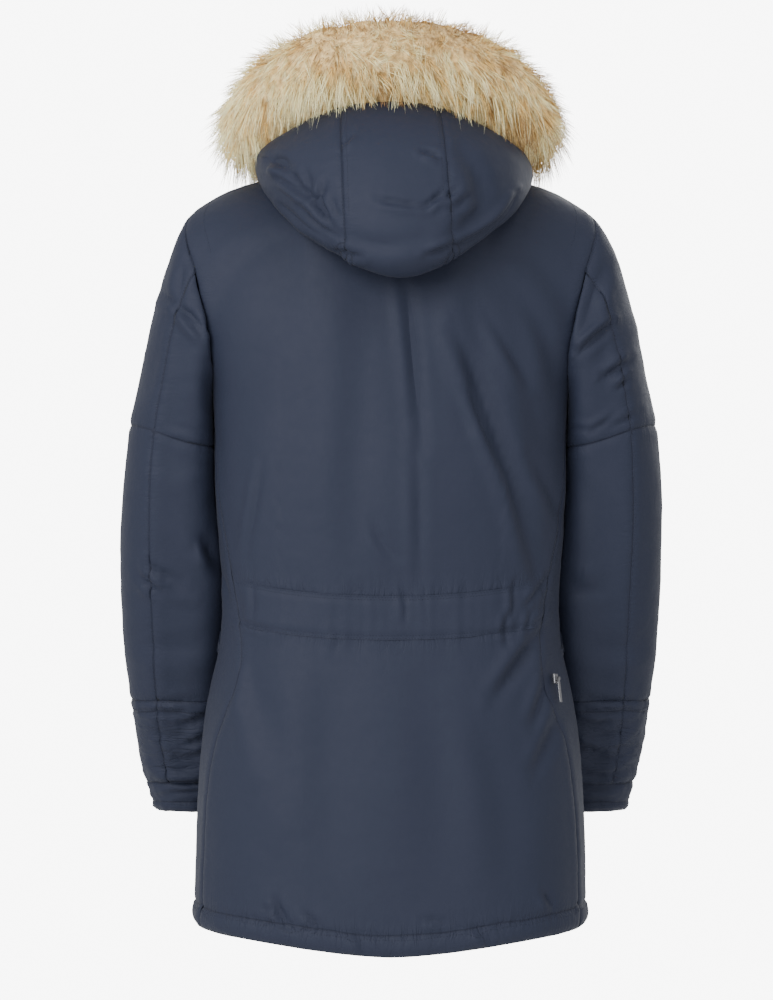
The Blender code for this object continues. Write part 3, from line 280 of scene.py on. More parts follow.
def clothMaterial(name, thread, worn, sheen=0.02, scale=2200.0, depth=0.25, drift=0.35, seams=False):
    material, tree, shader = newMaterial(name)
    weave = {"Thread": (*thread, 1), "Worn": (*worn, 1),
             "Weave Scale": scale, "Weave Depth": depth, "Drift": drift}
    cloth = addNode(tree, "Group", weave, node_tree=weaveGroup).outputs
    colour, normal = cloth["Color"], cloth["Normal"]
    if seams:
        layers = {"Seam Away": "seamAway", "Hem Away": "hemAway", "Rumple": "rumple"}
        for label, attribute in layers.items():
            layers[label] = addNode(tree, "Attribute", attribute_name=attribute).outputs["Fac"]
        sewn = addNode(tree, "Group", layers, node_tree=seamGroup).outputs
        normal = bumped(tree, sewn["Height"], 1.3 * mm, 0.75, normal)
        # painted shade: the sunk seam and hem lines darken the cloth's colour by about a quarter
        colour = mixed(tree, sewn["Line"], colour, (0.74, 0.74, 0.76, 1), "MULTIPLY")
    feed(tree, shader, {"Base Color": colour, "Roughness": cloth["Roughness"], "Normal": normal,
                        "Sheen Weight": sheen, "Sheen Roughness": 0.4, "Specular IOR Level": 0.16})
    return material


def metalMaterial(name, colour, roughness):
    material, tree, shader = newMaterial(name)
    scuffs = clouds(tree, addNode(tree, "TexCoord").outputs["Object"], 900.0, 5.0)
    tone = ramped(tree, scuffs, [(0.3, [c * 0.8 for c in colour]), (0.7, colour)])
    rough = addNode(tree, "MapRange", {"Value": scuffs, "To Min": roughness, "To Max": roughness + 0.15})
    feed(tree, shader, {"Base Color": tone, "Roughness": rough.outputs["Result"], "Metallic": 1.0})
    return material


def furMaterial():
    # tone of each hair in u, root to tip in v; the darker roots are partly the hair's own colour and
    # partly painted shade for the shade deep among the hairs
    material, tree, shader = newMaterial("foxFur")
    layout = addNode(tree, "UVMap", uv_map="OFBake")
    split = addNode(tree, "SeparateXYZ", {"Vector": layout.outputs["UV"]}).outputs
    golden = ramped(tree, split["Y"], [
        (0.0, (0.34, 0.19, 0.06)), (0.25, (0.88, 0.57, 0.18)), (0.55, (0.96, 0.66, 0.23)),
        (0.80, (0.36, 0.18, 0.05)), (1.0, (0.07, 0.034, 0.012))])
    cream = ramped(tree, split["Y"], [
        (0.0, (0.80, 0.55, 0.22)), (0.25, (1.0, 0.90, 0.48)), (0.8, (1.0, 0.98, 0.62)),
        (1.0, (1.0, 0.98, 0.66))])
    brown = ramped(tree, split["Y"], [
        (0.0, (0.16, 0.08, 0.03)), (0.3, (0.40, 0.22, 0.07)), (0.6, (0.30, 0.15, 0.045)),
        (1.0, (0.06, 0.03, 0.01))])
    shown = cream
    for darker, start, end in ((golden, 0.46, 0.60), (brown, 0.84, 0.95)):
        share = addNode(tree, "MapRange", {"Value": split["X"], "From Min": start, "From Max": end})
        shown = mixed(tree, share.outputs["Result"], shown, darker)
    feed(tree, shader, {
        "Base Color": shown, "Roughness": 0.4,
        "Specular IOR Level": 0.5, "Specular Tint": (1.0, 0.86, 0.62, 1),
        "Sheen Weight": 0.2, "Sheen Roughness": 0.5, "Sheen Tint": (1.0, 0.82, 0.52, 1)})
    return material


def furSkinMaterial():
    material, tree, shader = newMaterial("underfur")
    tufts = clouds(tree, addNode(tree, "TexCoord").outputs["Object"], 160.0, 6.0)
    tone = ramped(tree, tufts, [(0.35, (0.40, 0.26, 0.11)), (0.65, (0.84, 0.62, 0.30))])
    feed(tree, shader, {"Base Color": tone, "Normal": bumped(tree, tufts, 0.002, 0.8), "Roughness": 0.9})
    return material


navyCloth = clothMaterial("navyShell", (0.0126, 0.0160, 0.0306), (0.0190, 0.0224, 0.0385), seams=True)
navyPlain = clothMaterial("navyStrip", (0.0126, 0.0160, 0.0306), (0.0190, 0.0224, 0.0385))
navyTape = clothMaterial("navyTape", (0.010, 0.013, 0.026), (0.014, 0.018, 0.033), 0.05, 1400.0, 0.5)
navyThread = clothMaterial("navyThread", (0.0150, 0.0188, 0.0345), (0.0220, 0.0255, 0.0420),
                           0.02, 3000.0, 0.3)
foxFur = furMaterial()
zipMetal = metalMaterial("dullNickel", (0.17, 0.17, 0.18), 0.32)
coilPlastic = clothMaterial("zipCoil", (0.0095, 0.0120, 0.0230), (0.0130, 0.0155, 0.0280),
                            0.0, 2600.0, 0.15)
print("materials ready")


# creases in millimetres: x and z of the start, bend and end, then width and depth
backCreases = [
    (-17, -106, -25, -188, -34, -292, 7.5, 2.6),
    (-84, -228, -98, -262, -116, -308, 6, 2.0),
    (-105, -150, -128, -186, -150, -222, 7, 2.0),
    (-69, -166, -117, -284, -160, -434, 9, 4.4),
    (-85, -80, -94, -166, -96, -262, 15, 2.2),
    (-123, -118, -149, -220, -165, -316, 14, 2.2),
    (-139, -123, -169, -177, -181, -241, 11, 2.4),
    (27, -134, 33, -241, 38, -412, 19, 1.8),
    (150, -188, 157, -295, 163, -391, 20, 1.6),
    (-165, -487, -139, -525, -112, -562, 8, 3.6),
    (-173, -536, -165, -562, -155, -590, 7, 2.8),
    (-184, -579, -171, -610, -156, -641, 8, 2.8),
    (170, -519, 150, -562, 138, -626, 12, 2.2),
    (156, -508, 129, -583, 113, -669, 15, 1.8),
    (65, -508, 70, -626, 65, -755, 24, 2.0),
    (-42, -508, -53, -626, -49, -755, 26, 2.0),
    (-96, -562, -118, -658, -128, -755, 19, 1.9),
    (113, -64, 161, -91, 188, -134, 14, 1.6),
    (-117, -64, -165, -96, -197, -145, 14, 1.8),
    (-150, -300, -172, -340, -186, -372, 8, 1.8),
    (18, -370, 10, -392, -5, -409, 6, 1.2),
    (138, -306, 147, -360, 157, -412, 5, 1.3),
    (-28, -285, -31, -360, -31, -440, 7, 1.3),
    (172, -478, 150, -484, 127, -489, 3, 1.0),
    (-91, -494, -130, -489, -168, -476, 3, 1.0),
    (-134, -436, -133, -457, -132, -474, 4, 1.6),
    (-173, -429, -160, -446, -147, -463, 4, 1.6),
    (-12, -440, -16, -460, -15, -482, 4, 1.0),
    (150, -440, 148, -462, 151, -476, 4, 1.0),
    (-128, -470, -124, -486, -126, -505, 4, 1.6),
    (-153, -468, -150, -480, -148, -497, 4, 1.4),
    (61, -488, 57, -498, 62, -512, 4, 0.8),
    (190, -420, 182, -440, 176, -458, 5, 1.4),
    (124, -776, 119, -788, 109, -806, 4.5, 2.4),
    (137, -787, 127, -789, 115, -796, 4, 1.8),
    (92, -790, 85, -796, 75, -806, 4, 2.0),
    (-34, -796, -46, -797, -60, -801, 4, 1.6),
    (-166, -772, -172, -780, -179, -790, 5, 2.0),
    (-88, -806, -98, -812, -108, -820, 5, 1.8),
    (40, -812, 33, -820, 28, -832, 5, 1.4),
]
frontCreases = [
    (-64, -150, -110, -230, -150, -300, 14, 2.8),
    (66, -160, 115, -240, 158, -310, 13, 2.6),
    (-160, -300, -110, -372, -60, -420, 12, 2.4),
    (160, -310, 105, -385, 58, -428, 13, 2.6),
    (-130, -500, -100, -590, -92, -700, 18, 2.2),
    (128, -510, 92, -600, 84, -720, 17, 2.2),
    (-55, -540, -50, -640, -56, -760, 22, 1.8),
    (52, -520, 56, -630, 50, -740, 20, 1.8),
    (-30, -60, -42, -130, -38, -210, 16, 1.6),
    (34, -70, 44, -140, 42, -220, 15, 1.6),
    (-175, -120, -150, -170, -135, -230, 11, 2.0),
    (176, -118, 152, -172, 138, -236, 11, 2.0),
]
leftSleeveCreases = [
    (231, -138, 219, -147, 202, -162, 5, 3.0),
    (225, -151, 214, -160, 203, -171, 4.5, 2.0),
    (255, -116, 244, -127, 232, -133, 6, 1.8),
    (226, -91, 229, -110, 231, -129, 6, 1.6),
    (257, -182, 266, -215, 274, -243, 14, 1.4),
    (280, -259, 261, -266, 242, -274, 4, 0.8),
    (246, -266, 222, -271, 198, -279, 4, 0.8),
    (262, -300, 240, -312, 214, -310, 12, 1.2),
    (266, -418, 255, -429, 229, -437, 5, 3.0),
    (277, -433, 267, -440, 255, -450, 5, 2.5),
    (246, -440, 235, -445, 222, -448, 6, 1.8),
    (211, -392, 202, -403, 194, -426, 8, 3.0),
    (277, -503, 250, -512, 205, -503, 12, 1.5),
    (281, -569, 250, -573, 202, -566, 4, 1.2),
    (281, -583, 250, -586, 202, -579, 4, 1.0),
    (198, -589, 216, -594, 233, -600, 5, 2.4),
    (197, -612, 216, -619, 235, -625, 5, 2.2),
    (266, -608, 250, -616, 228, -612, 5, 1.6),
    (203, -631, 222, -638, 242, -641, 5, 2.2),
    (268, -647, 250, -653, 211, -649, 4.5, 1.8),
    (205, -664, 228, -669, 255, -669, 4.5, 1.6),
    (203, -675, 230, -680, 256, -678, 4, 1.4),
]
rightSleeveCreases = [
    (206, -188, 223, -172, 242, -157, 5, 4.2),
    (237, -91, 221, -127, 210, -171, 8, 2.2),
    (233, -214, 247, -206, 264, -195, 5, 3.2),
    (247, -227, 254, -222, 261, -215, 4, 2.0),
    (268, -122, 258, -147, 243, -176, 10, 1.6),
    (219, -273, 232, -265, 246, -256, 4, 1.6),
    (237, -271, 254, -262, 274, -251, 4, 1.6),
    (195, -268, 210, -271, 232, -275, 4, 0.7),
    (276, -160, 289, -237, 293, -315, 14, 1.5),
    (214, -330, 236, -372, 240, -420, 14, 1.5),
    (200, -438, 216, -446, 240, -440, 9, 1.8),
    (285, -500, 258, -514, 216, -506, 12, 1.5),
    (278, -569, 250, -573, 202, -566, 4, 1.2),
    (278, -583, 250, -586, 202, -579, 4, 1.0),
    (200, -592, 222, -600, 244, -598, 5, 2.4),
    (270, -604, 252, -612, 226, -616, 5, 2.0),
    (198, -622, 220, -628, 240, -634, 5, 2.2),
    (266, -636, 246, -642, 212, -640, 5, 2.0),
    (262, -656, 240, -660, 206, -654, 4.5, 1.8),
    (258, -671, 232, -676, 206, -672, 4.5, 1.5),
]
sleeveFrontCreases = [
    (234, -128, 222, -152, 206, -176, 6, 3.2),
    (240, -150, 228, -172, 208, -196, 6, 2.4),
    (268, -170, 244, -200, 212, -216, 12, 1.8),
    (296, -262, 256, -296, 206, -300, 6, 3.0),
    (290, -300, 250, -326, 204, -330, 7, 3.0),
    (282, -330, 246, -352, 208, -366, 7, 2.4),
    (300, -420, 262, -440, 220, -430, 12, 1.8),
    (294, -560, 254, -584, 212, -574, 5, 2.4),
    (288, -606, 250, -622, 212, -612, 5, 2.4),
    (280, -640, 250, -650, 214, -646, 5, 2.0),
    (266, -668, 240, -674, 212, -670, 4.5, 1.5),
]
hoodCreases = [
    (127, 19, 119, 15, 112, 11, 6, 5.0),
    (115, 13, 89, -21, 69, -45, 5, 3.2),
    (118, -3, 104, -14, 90, -26, 3.6, 2.8),
    (92, 4, 86, -10, 84, -24, 3.6, 2.4),
    (70, -10, 74, -26, 82, -42, 3.6, 2.8),
    (78, -26, 70, -44, 57, -62, 4, 3.0),
    (94, -36, 76, -56, 50, -72, 4.5, 3.0),
    (62, -30, 58, -42, 55, -52, 3.4, 2.0),
    (118, -30, 100, -48, 60, -75, 4, 2.4),
    (52, 30, 46, 34, 40, 42, 3.6, 1.6),
    (14, -31, -8, -36, -38, -39, 4, 2.2),
    (-35, -40, -47, -31, -56, -22, 3.6, 2.8),
    (-50, -33, -60, -28, -69, -20, 3.6, 2.6),
    (-33, 21, -43, 18, -53, 14, 3.6, 3.0),
    (-76, 22, -95, -28, -64, -68, 10, 3.6),
    (-68, -44, -76, -34, -86, -24, 5, 2.2),
    (-137, -20, -112, -54, -70, -80, 4.5, 4.0),
    (59, -82, 48, -88, 30, -91, 4, 2.4),
    (-66, -78, -54, -85, -38, -91, 4, 2.6),
    (50, -62, 10, -80, -40, -70, 9, 1.8),
]

panels = {
    # node: flat width, flat length, flat area, creases behind, creases in front, fine wrinkle depth
    "back_panel": (0.60, 0.84, 0.385, backCreases, backCreases, 0.25),
    "front_left": (0.40, 0.85, 0.275, backCreases, frontCreases, 0.3),
    "front_right": (0.40, 0.85, 0.275, backCreases, frontCreases, 0.3),
    "sleeve_upper_outer_left": (0.25, 0.27, 0.046, [], [], 0.3),
    "sleeve_upper_under_left": (0.29, 0.20, 0.024, [], [], 0.35),
    "sleeve_elbow_outer_left": (0.20, 0.32, 0.054, [], [], 0.4),
    "sleeve_elbow_under_left": (0.24, 0.31, 0.064, [], [], 0.4),
    "sleeve_lower_outer_left": (0.16, 0.12, 0.014, [], [], 0.8),
    "sleeve_lower_under_left": (0.19, 0.12, 0.017, [], [], 0.8),
    "cuff_left": (0.29, 0.04, 0.0097, [], [], 0.8),
    "collar": (0.60, 0.085, 0.033, [], [], 0.25),
    "hood_centre": (0.15, 0.36, 0.042, hoodCreases, hoodCreases, 0.2),
    "hood_left": (0.34, 0.33, 0.046, hoodCreases, hoodCreases, 0.3),
    "hood_right": (0.34, 0.33, 0.046, hoodCreases, hoodCreases, 0.3),
}
for node in list(panels):
    if node.startswith(("sleeve", "cuff")):
        cut = panels[node]
        panels[node] = (*cut[:3], leftSleeveCreases, sleeveFrontCreases, cut[5])
        panels[node.replace("left", "right")] = (*cut[:3], rightSleeveCreases, sleeveFrontCreases, cut[5])

clothCut = {
    "wall": 2.6 * mm,
    "seamDip": 1.5 * mm,
    "seamWidth": 2.4 * mm,
    "puckerDepth": 0.7 * mm,
    "puckerReach": 14 * mm,
    "puckerPitch": 11 * mm,
    "seamClose": 0.35 * mm,
    "seamPlump": 0.5 * mm,
    "seamPlumpAt": 9 * mm,
    "grooveDepth": 1.0 * mm,
    "grooveWidth": 2.6 * mm,
    "grooveReach": 50 * mm,
    "broadCrease": 1.45,
    "narrowCrease": 1.4,
    "narrowBelow": 8,
    "drift": 1.1 * mm,
    "wrinkle": 1.5 * mm,
    "crumplePitch": 13 * mm,
    "crumple": 1.5 * mm,
    "hemDrop": 14 * mm,
    "hemHalf": 0.17,
    "sleeveSwell": 8.0 * mm,
    "bodySwell": 2.6 * mm,
    "swellHeight": -0.335,
    "swellSpan": 0.12,
    "sleeveEnds": (-0.66, -0.12),
    "leanBack": 16 * mm,
    "leanInward": 5 * mm,
    "leanClear": 0.8 * mm,
    "leanReach": 20 * mm,
    "elbowLift": 15 * mm,
    "elbowHeight": -0.282,
    "elbowSpan": 0.055,
    "zipMargin": 4 * mm,
    "smoothBelow": math.radians(50),
}
farAway = 60.0   # millimetres, where no seam is near
grooves = [
    # a stitching row that presses a groove: node, the heights between which its edge lies,
    # distance from that edge, share of the groove's depth, puff of the turned-up edge
    ("back_panel", -0.90, -0.77, 23 * mm, 1.7, 2.2 * mm),
    ("front", -0.90, -0.77, 23 * mm, 1.7, 2.2 * mm),
    ("sleeve_lower", -0.60, -0.54, 13 * mm, 1.0, 0.6 * mm),
    ("cuff", -0.72, -0.672, 12 * mm, 1.0, 0.8 * mm),
    ("hood", 0.02, 0.20, 8 * mm, 1.0, 0.4 * mm),
    ("hood", -0.14, 0.0, 9 * mm, 1.0, 0.6 * mm),
    ("collar", 0.0, 0.2, 7 * mm, 0.8, 0),
]
channelCut = {
    "flat": (0.36, 0.055),
    "area": 0.0185,
    "wall": 1.3 * mm,
    "ripple": 1.0 * mm,
    "pitch": 9 * mm,
    "puff": 1.5 * mm,
    "sink": 1.1 * mm,
    "stitchDip": 0.5 * mm,
    "gathers": 1.5 * mm,
    "gatherReach": 12 * mm,
    # height of each edge at the middle, and how far it rises toward the sides
    "top": (-0.4497, 0.0182),
    "bottom": (-0.4978, 0.0190),
    "halfWidth": 0.165,
}


def readPoints(thing):
    points = np.empty(len(thing.data.vertices) * 3)
    thing.data.vertices.foreach_get("co", points)
    return points.reshape(-1, 3)


def writePoints(thing, points):
    thing.data.vertices.foreach_set("co", points.ravel())
    thing.data.update()


def readNormals(thing):
    normals = np.empty(len(thing.data.vertices) * 3)
    thing.data.vertex_normals.foreach_get("vector", normals)
    return normals.reshape(-1, 3)


def copyNode(node, name):
    thing = bpy.data.objects.new(name, nodes[node].data.copy())
    bpy.context.scene.collection.objects.link(thing)
    thing.data.materials.clear()
    makeActive(thing)
    bpy.ops.object.mode_set(mode="EDIT")
    bpy.ops.mesh.select_all(action="SELECT")
    bpy.ops.mesh.remove_doubles(threshold=0.00001)
    bpy.ops.mesh.tris_convert_to_quads(face_threshold=math.pi, shape_threshold=math.pi)
    bpy.ops.object.mode_set(mode="OBJECT")
    return thing


def clothPolygons(parts):
    points, faces = [], []
    for part in parts:
        mesh = nodes[part].data
        start = len(points)
        points += [vertex.co.copy() for vertex in mesh.vertices]
        faces += [[start + i for i in polygon.vertices] for polygon in mesh.polygons]
    return points, faces


def keepOutside(thing):
    # the wall's two largest smooth areas are its outside and its inside
    work = bmesh.new()
    work.from_mesh(thing.data)
    work.faces.ensure_lookup_table()
    left = set(work.faces)
    areas = []
    while left and len(areas) < 2:
        start = max(left, key=lambda face: face.calc_area())
        region, queue = {start}, [start]
        while queue:
            face = queue.pop()
            for edge in face.edges:
                for other in edge.link_faces:
                    if other not in region and edge.calc_face_angle(3.0) < math.radians(62):
                        region.add(other)
                        queue.append(other)
        left -= region
        areas.append(region)
    outside = max(areas, key=lambda region: sum(face.calc_area() for face in region))
    bmesh.ops.delete(work, geom=[face for face in work.faces if face not in outside], context="FACES")
    work.to_mesh(thing.data)
    work.free()


def creaseDepth(points, creases):
    # a soft trough along a bent line with a low ridge on each side of it
    depth = np.zeros(len(points))
    flat = points[:, [0, 2]] / mm
    for x0, z0, x1, z1, x2, z2, width, deep in creases:
        steps = np.linspace(0, 1, 13)[:, None]
        a, b, c = np.array([x0, z0]), np.array([x1, z1]), np.array([x2, z2])
        line = a * (1 - steps) ** 2 + 2 * (2 * b - (a + c) / 2) * steps * (1 - steps) + c * steps ** 2
        best = np.full(len(flat), 1e9)
        place = np.zeros(len(flat))
        side = np.zeros(len(flat))
        for i in range(len(line) - 1):
            run = line[i + 1] - line[i]
            offset = flat - line[i]
            t = np.clip(offset @ run / (run @ run), 0, 1)
            away = offset - t[:, None] * run
            gap = np.hypot(away[:, 0], away[:, 1])
            closer = gap < best
            best[closer] = gap[closer]
            place[closer] = (i + t[closer]) / (len(line) - 1)
            side[closer] = np.sign(run[0] * away[closer, 1] - run[1] * away[closer, 0])
        fade = np.sin(math.pi * np.clip(0.06 + 0.88 * place, 0, 1)) ** 0.8
        across = best / width
        crisp = min(max((11 - width) / 6, 0), 1)
        trough = -(1 - crisp) * np.exp(-(across ** 2)) - crisp * np.exp(-1.5 * across)
        ridge = 0.5 * np.exp(-((across - 1.7) / 1.0) ** 2) * (1 + 0.6 * side)
        depth += deep * mm * (1 + 0.45 * crisp) * fade * (trough + ridge)
    return depth


def driftNoise(points, stretch, shift):
    scaled = points * np.array(stretch) + shift
    return np.array([noise.noise(Vector(point)) for point in scaled])


zipNodes = [node for node in nodes if "pocket" in node or "front_zip" in node]
flatSpots = nearestOf([vertex.co for node in zipNodes for vertex in nodes[node].data.vertices])


def nearZips(points, reach=22 * mm):
    # cloth stays as cut where a zip lies on it
    distance = np.array([flatSpots.find(Vector(point))[2] for point in points])
    return softStep((distance - clothCut["zipMargin"]) / reach)


def creaseRows(rows, narrow):
    # narrow creases are pressed into the finer mesh, broad ones before it
    return [row for row in rows if (row[6] < clothCut["narrowBelow"]) == narrow]


def creasesOn(thing, points, normals, behind, before, kind="broadCrease"):
    # the first table shapes what faces the back, the second what faces the front
    shown = points.copy()
    if thing.name.startswith(("sleeve", "cuff")):
        shown[:, 0] = np.abs(shown[:, 0])
    depth = creaseDepth(shown, behind) * softStep(normals[:, 1] * 2.2 + 0.3)
    depth += creaseDepth(shown, before) * softStep(-normals[:, 1] * 2.2 + 0.3)
    return clothCut[kind] * depth


def foldCloth(thing, behind, before, wrinkle):
    points, normals = readPoints(thing), readNormals(thing)
    depth = creasesOn(thing, points, normals, creaseRows(behind, False), creaseRows(before, False))
    slow = driftNoise(points, (13, 13, 5.5), 3.7) + 0.6 * driftNoise(points, (24, 24, 16), 9.1)
    depth += slow * clothCut["drift"]
    if wrinkle:
        fine = driftNoise(points, (34, 34, 80), 5.3)
        fine -= 0.5 * np.abs(driftNoise(points, (26, 26, 62), 8.4))
        depth += fine * wrinkle * clothCut["wrinkle"]
    depth *= nearZips(points)
    depth += bodyAndSleeveMeet(thing, points, normals)
    writePoints(thing, points + normals * depth[:, None])
    if thing.name.startswith("back"):
        dropHem(thing)
    if thing.name.startswith(("sleeve", "cuff")):
        leanOnBody(thing)
        liftElbowSeam(thing)


def dropHem(thing):
    # the back hem is cut to a low point at its middle
    points = readPoints(thing)
    low = softStep((-0.62 - points[:, 2]) / 0.2)
    middle = np.clip(1 - np.abs(points[:, 0]) / clothCut["hemHalf"], 0, 1) * softStep(points[:, 1] / 0.06)
    points[:, 2] -= clothCut["hemDrop"] * low * softStep(middle * 0.9 + 0.05)
    writePoints(thing, points)


def bodyAndSleeveMeet(thing, points, normals):
    # the sleeve's front half and the body's back half swell toward each other
    height = np.exp(-(((points[:, 2] - clothCut["swellHeight"]) / clothCut["swellSpan"]) ** 2))
    if thing.name.startswith("sleeve"):
        inward = softStep(-normals[:, 0] * np.sign(points[:, 0]) * 2 - 0.4)
        return clothCut["sleeveSwell"] * height * inward * softStep((0.030 - points[:, 1]) / 0.04)
    if thing.name.startswith(("back", "front")):
        outward = softStep(normals[:, 0] * np.sign(points[:, 0]) * 2 - 0.4)
        outward *= np.abs(points[:, 0]) > 0.12
        return clothCut["bodySwell"] * height * outward * softStep((points[:, 1] - 0.010) / 0.04)
    return 0


def sleeveMiddles():
    # curves of the left sleeve's middle and half width down its length
    meshes = [nodes[n].data for n in nodes if n.startswith(("sleeve", "cuff")) and n.endswith("left")]
    ends = np.array([
        [mesh.vertices[i].co for i in edge.vertices] for mesh in meshes for edge in mesh.edges])
    heights, rows = np.arange(*clothCut["sleeveEnds"], 0.02), []
    for height in heights:
        above = ends[:, :, 2] - height
        cut = above[:, 0] * above[:, 1] < 0
        share = (above[cut, 0] / (above[cut, 0] - above[cut, 1]))[:, None]
        ring = ends[cut, 0] + (ends[cut, 1] - ends[cut, 0]) * share
        low, high = ring.min(axis=0)[:2], ring.max(axis=0)[:2]
        rows.append([*(low + high) / 2, *(high - low) / 2])
    return np.polyfit(heights, np.array(rows), 4)


sleeveCurve = sleeveMiddles()


def leanOnBody(thing):
    # the padded sleeve is pressed flat where it lies beside the body
    points = readPoints(thing)
    side = np.sign(points[:, 0].mean())
    height = points[:, 2]
    middle = [np.polyval(column, np.clip(height, *clothCut["sleeveEnds"])) for column in sleeveCurve.T]
    inward = softStep((middle[0] - np.abs(points[:, 0])) / middle[2])
    behind = softStep((points[:, 1] - middle[1]) / middle[3] * 1.5 + 0.35)
    window = softStep((-0.10 - height) / 0.08) * softStep((height + 0.70) / 0.07)
    move = np.zeros_like(points)
    move[:, 1] = clothCut["leanBack"] * inward * behind * window
    move[:, 0] = -side * clothCut["leanInward"] * inward * behind * window
    trees = [sheets[part][0] for part in ("back_panel", "front_left" if side > 0 else "front_right")]
    points += move
    for index in np.flatnonzero(inward * window > 0.02):
        for tree in trees:
            spot, outward, _, gap = tree.find_nearest(Vector(points[index]))
            over = (points[index] - np.array(spot)) @ np.array(outward)
            if gap < clothCut["leanReach"] and over < clothCut["leanClear"]:
                points[index] += np.array(outward) * (clothCut["leanClear"] - over)
    writePoints(thing, points)


def liftElbowSeam(thing):
    # the elbow seam climbs to the outer edge of the sleeve
    points = readPoints(thing)
    outer = softStep((np.abs(points[:, 0]) - 0.205) / 0.085)
    near = np.exp(-(((points[:, 2] - clothCut["elbowHeight"]) / clothCut["elbowSpan"]) ** 2))
    points[:, 2] += clothCut["elbowLift"] * outer * near
    writePoints(thing, points)


def outerNormals(thing, faces):
    points = readPoints(thing)
    normals = np.zeros_like(points)
    for face in faces:
        corners = list(face.vertices)
        normals[corners] += np.array(face.normal) * face.area
    return unit(normals)


def boundaryLoops(thing, faces):
    # ordered loops of points round the outside, each with its way into the cloth
    edges = {}
    for face in faces:
        corners = list(face.vertices)
        for start, end in zip(corners, corners[1:] + corners[:1]):
            edges[(start, end)] = face.index
    after, centres = {}, {}
    for (start, end), index in edges.items():
        if (end, start) not in edges:
            after[start] = end
            centres[start] = thing.data.polygons[index].center.copy()
    loops = []
    while after:
        first = next(iter(after))
        loop = [first]
        here = after.pop(first)
        while here != first and here in after:
            loop.append(here)
            here = after.pop(here)
        loops.append(loop)
    found = []
    for loop in loops:
        spots = np.array([thing.data.vertices[i].co for i in loop])
        middle = np.array([centres[i] for i in loop])
        along = unit(np.roll(spots, -1, 0) - np.roll(spots, 1, 0))
        inward = middle - spots
        inward = unit(inward - along * np.sum(inward * along, axis=1, keepdims=True))
        found.append((spots, inward, along))
    return found


def subdivideCloth(thing, levels):
    smooth = thing.modifiers.new("smooth", "SUBSURF")
    smooth.levels = smooth.render_levels = levels
    smooth.boundary_smooth = "PRESERVE_CORNERS"
    applyModifiers(thing)


def thickenCloth(thing, thickness):
    wall = thing.modifiers.new("wall", "SOLIDIFY")
    wall.thickness = thickness
    wall.offset = -1
    applyModifiers(thing)


sheets = {}   # what the stitching needs from each finished panel


def sewPanel(node):
    width, length, area, behind, before, wrinkle = panels[node]
    words = node.split("_")
    name = words[0] + "".join(word.capitalize() for word in words[1:]) + "Cloth"
    thing = copyNode(node, name)
    keepOutside(thing)
    subdivideCloth(thing, 2)
    foldCloth(thing, behind, before, wrinkle)
    outside = len(thing.data.polygons)
    thickenCloth(thing, clothCut["wall"])
    for part in (*thing.data.edges, *thing.data.vertices):
        part.select = False
    for polygon in thing.data.polygons:
        polygon.select = polygon.index < outside
    bpy.ops.object.mode_set(mode="EDIT")
    bpy.ops.mesh.select_mode(type="FACE")
    bpy.ops.mesh.subdivide(number_cuts=1)
    bpy.ops.object.mode_set(mode="OBJECT")
    faces = [polygon for polygon in thing.data.polygons if polygon.select]
    puckerSeams(thing, node, faces, wrinkle)
    faces = [polygon for polygon in thing.data.polygons if polygon.select]
    sheets[node] = (surfaceOf(thing, faces), boundaryLoops(thing, faces))
    thing.data.materials.append(navyCloth)
    makeActive(thing)
    bpy.ops.object.shade_smooth_by_angle(angle=clothCut["smoothBelow"])
    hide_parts(node)
    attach(thing, "parka")


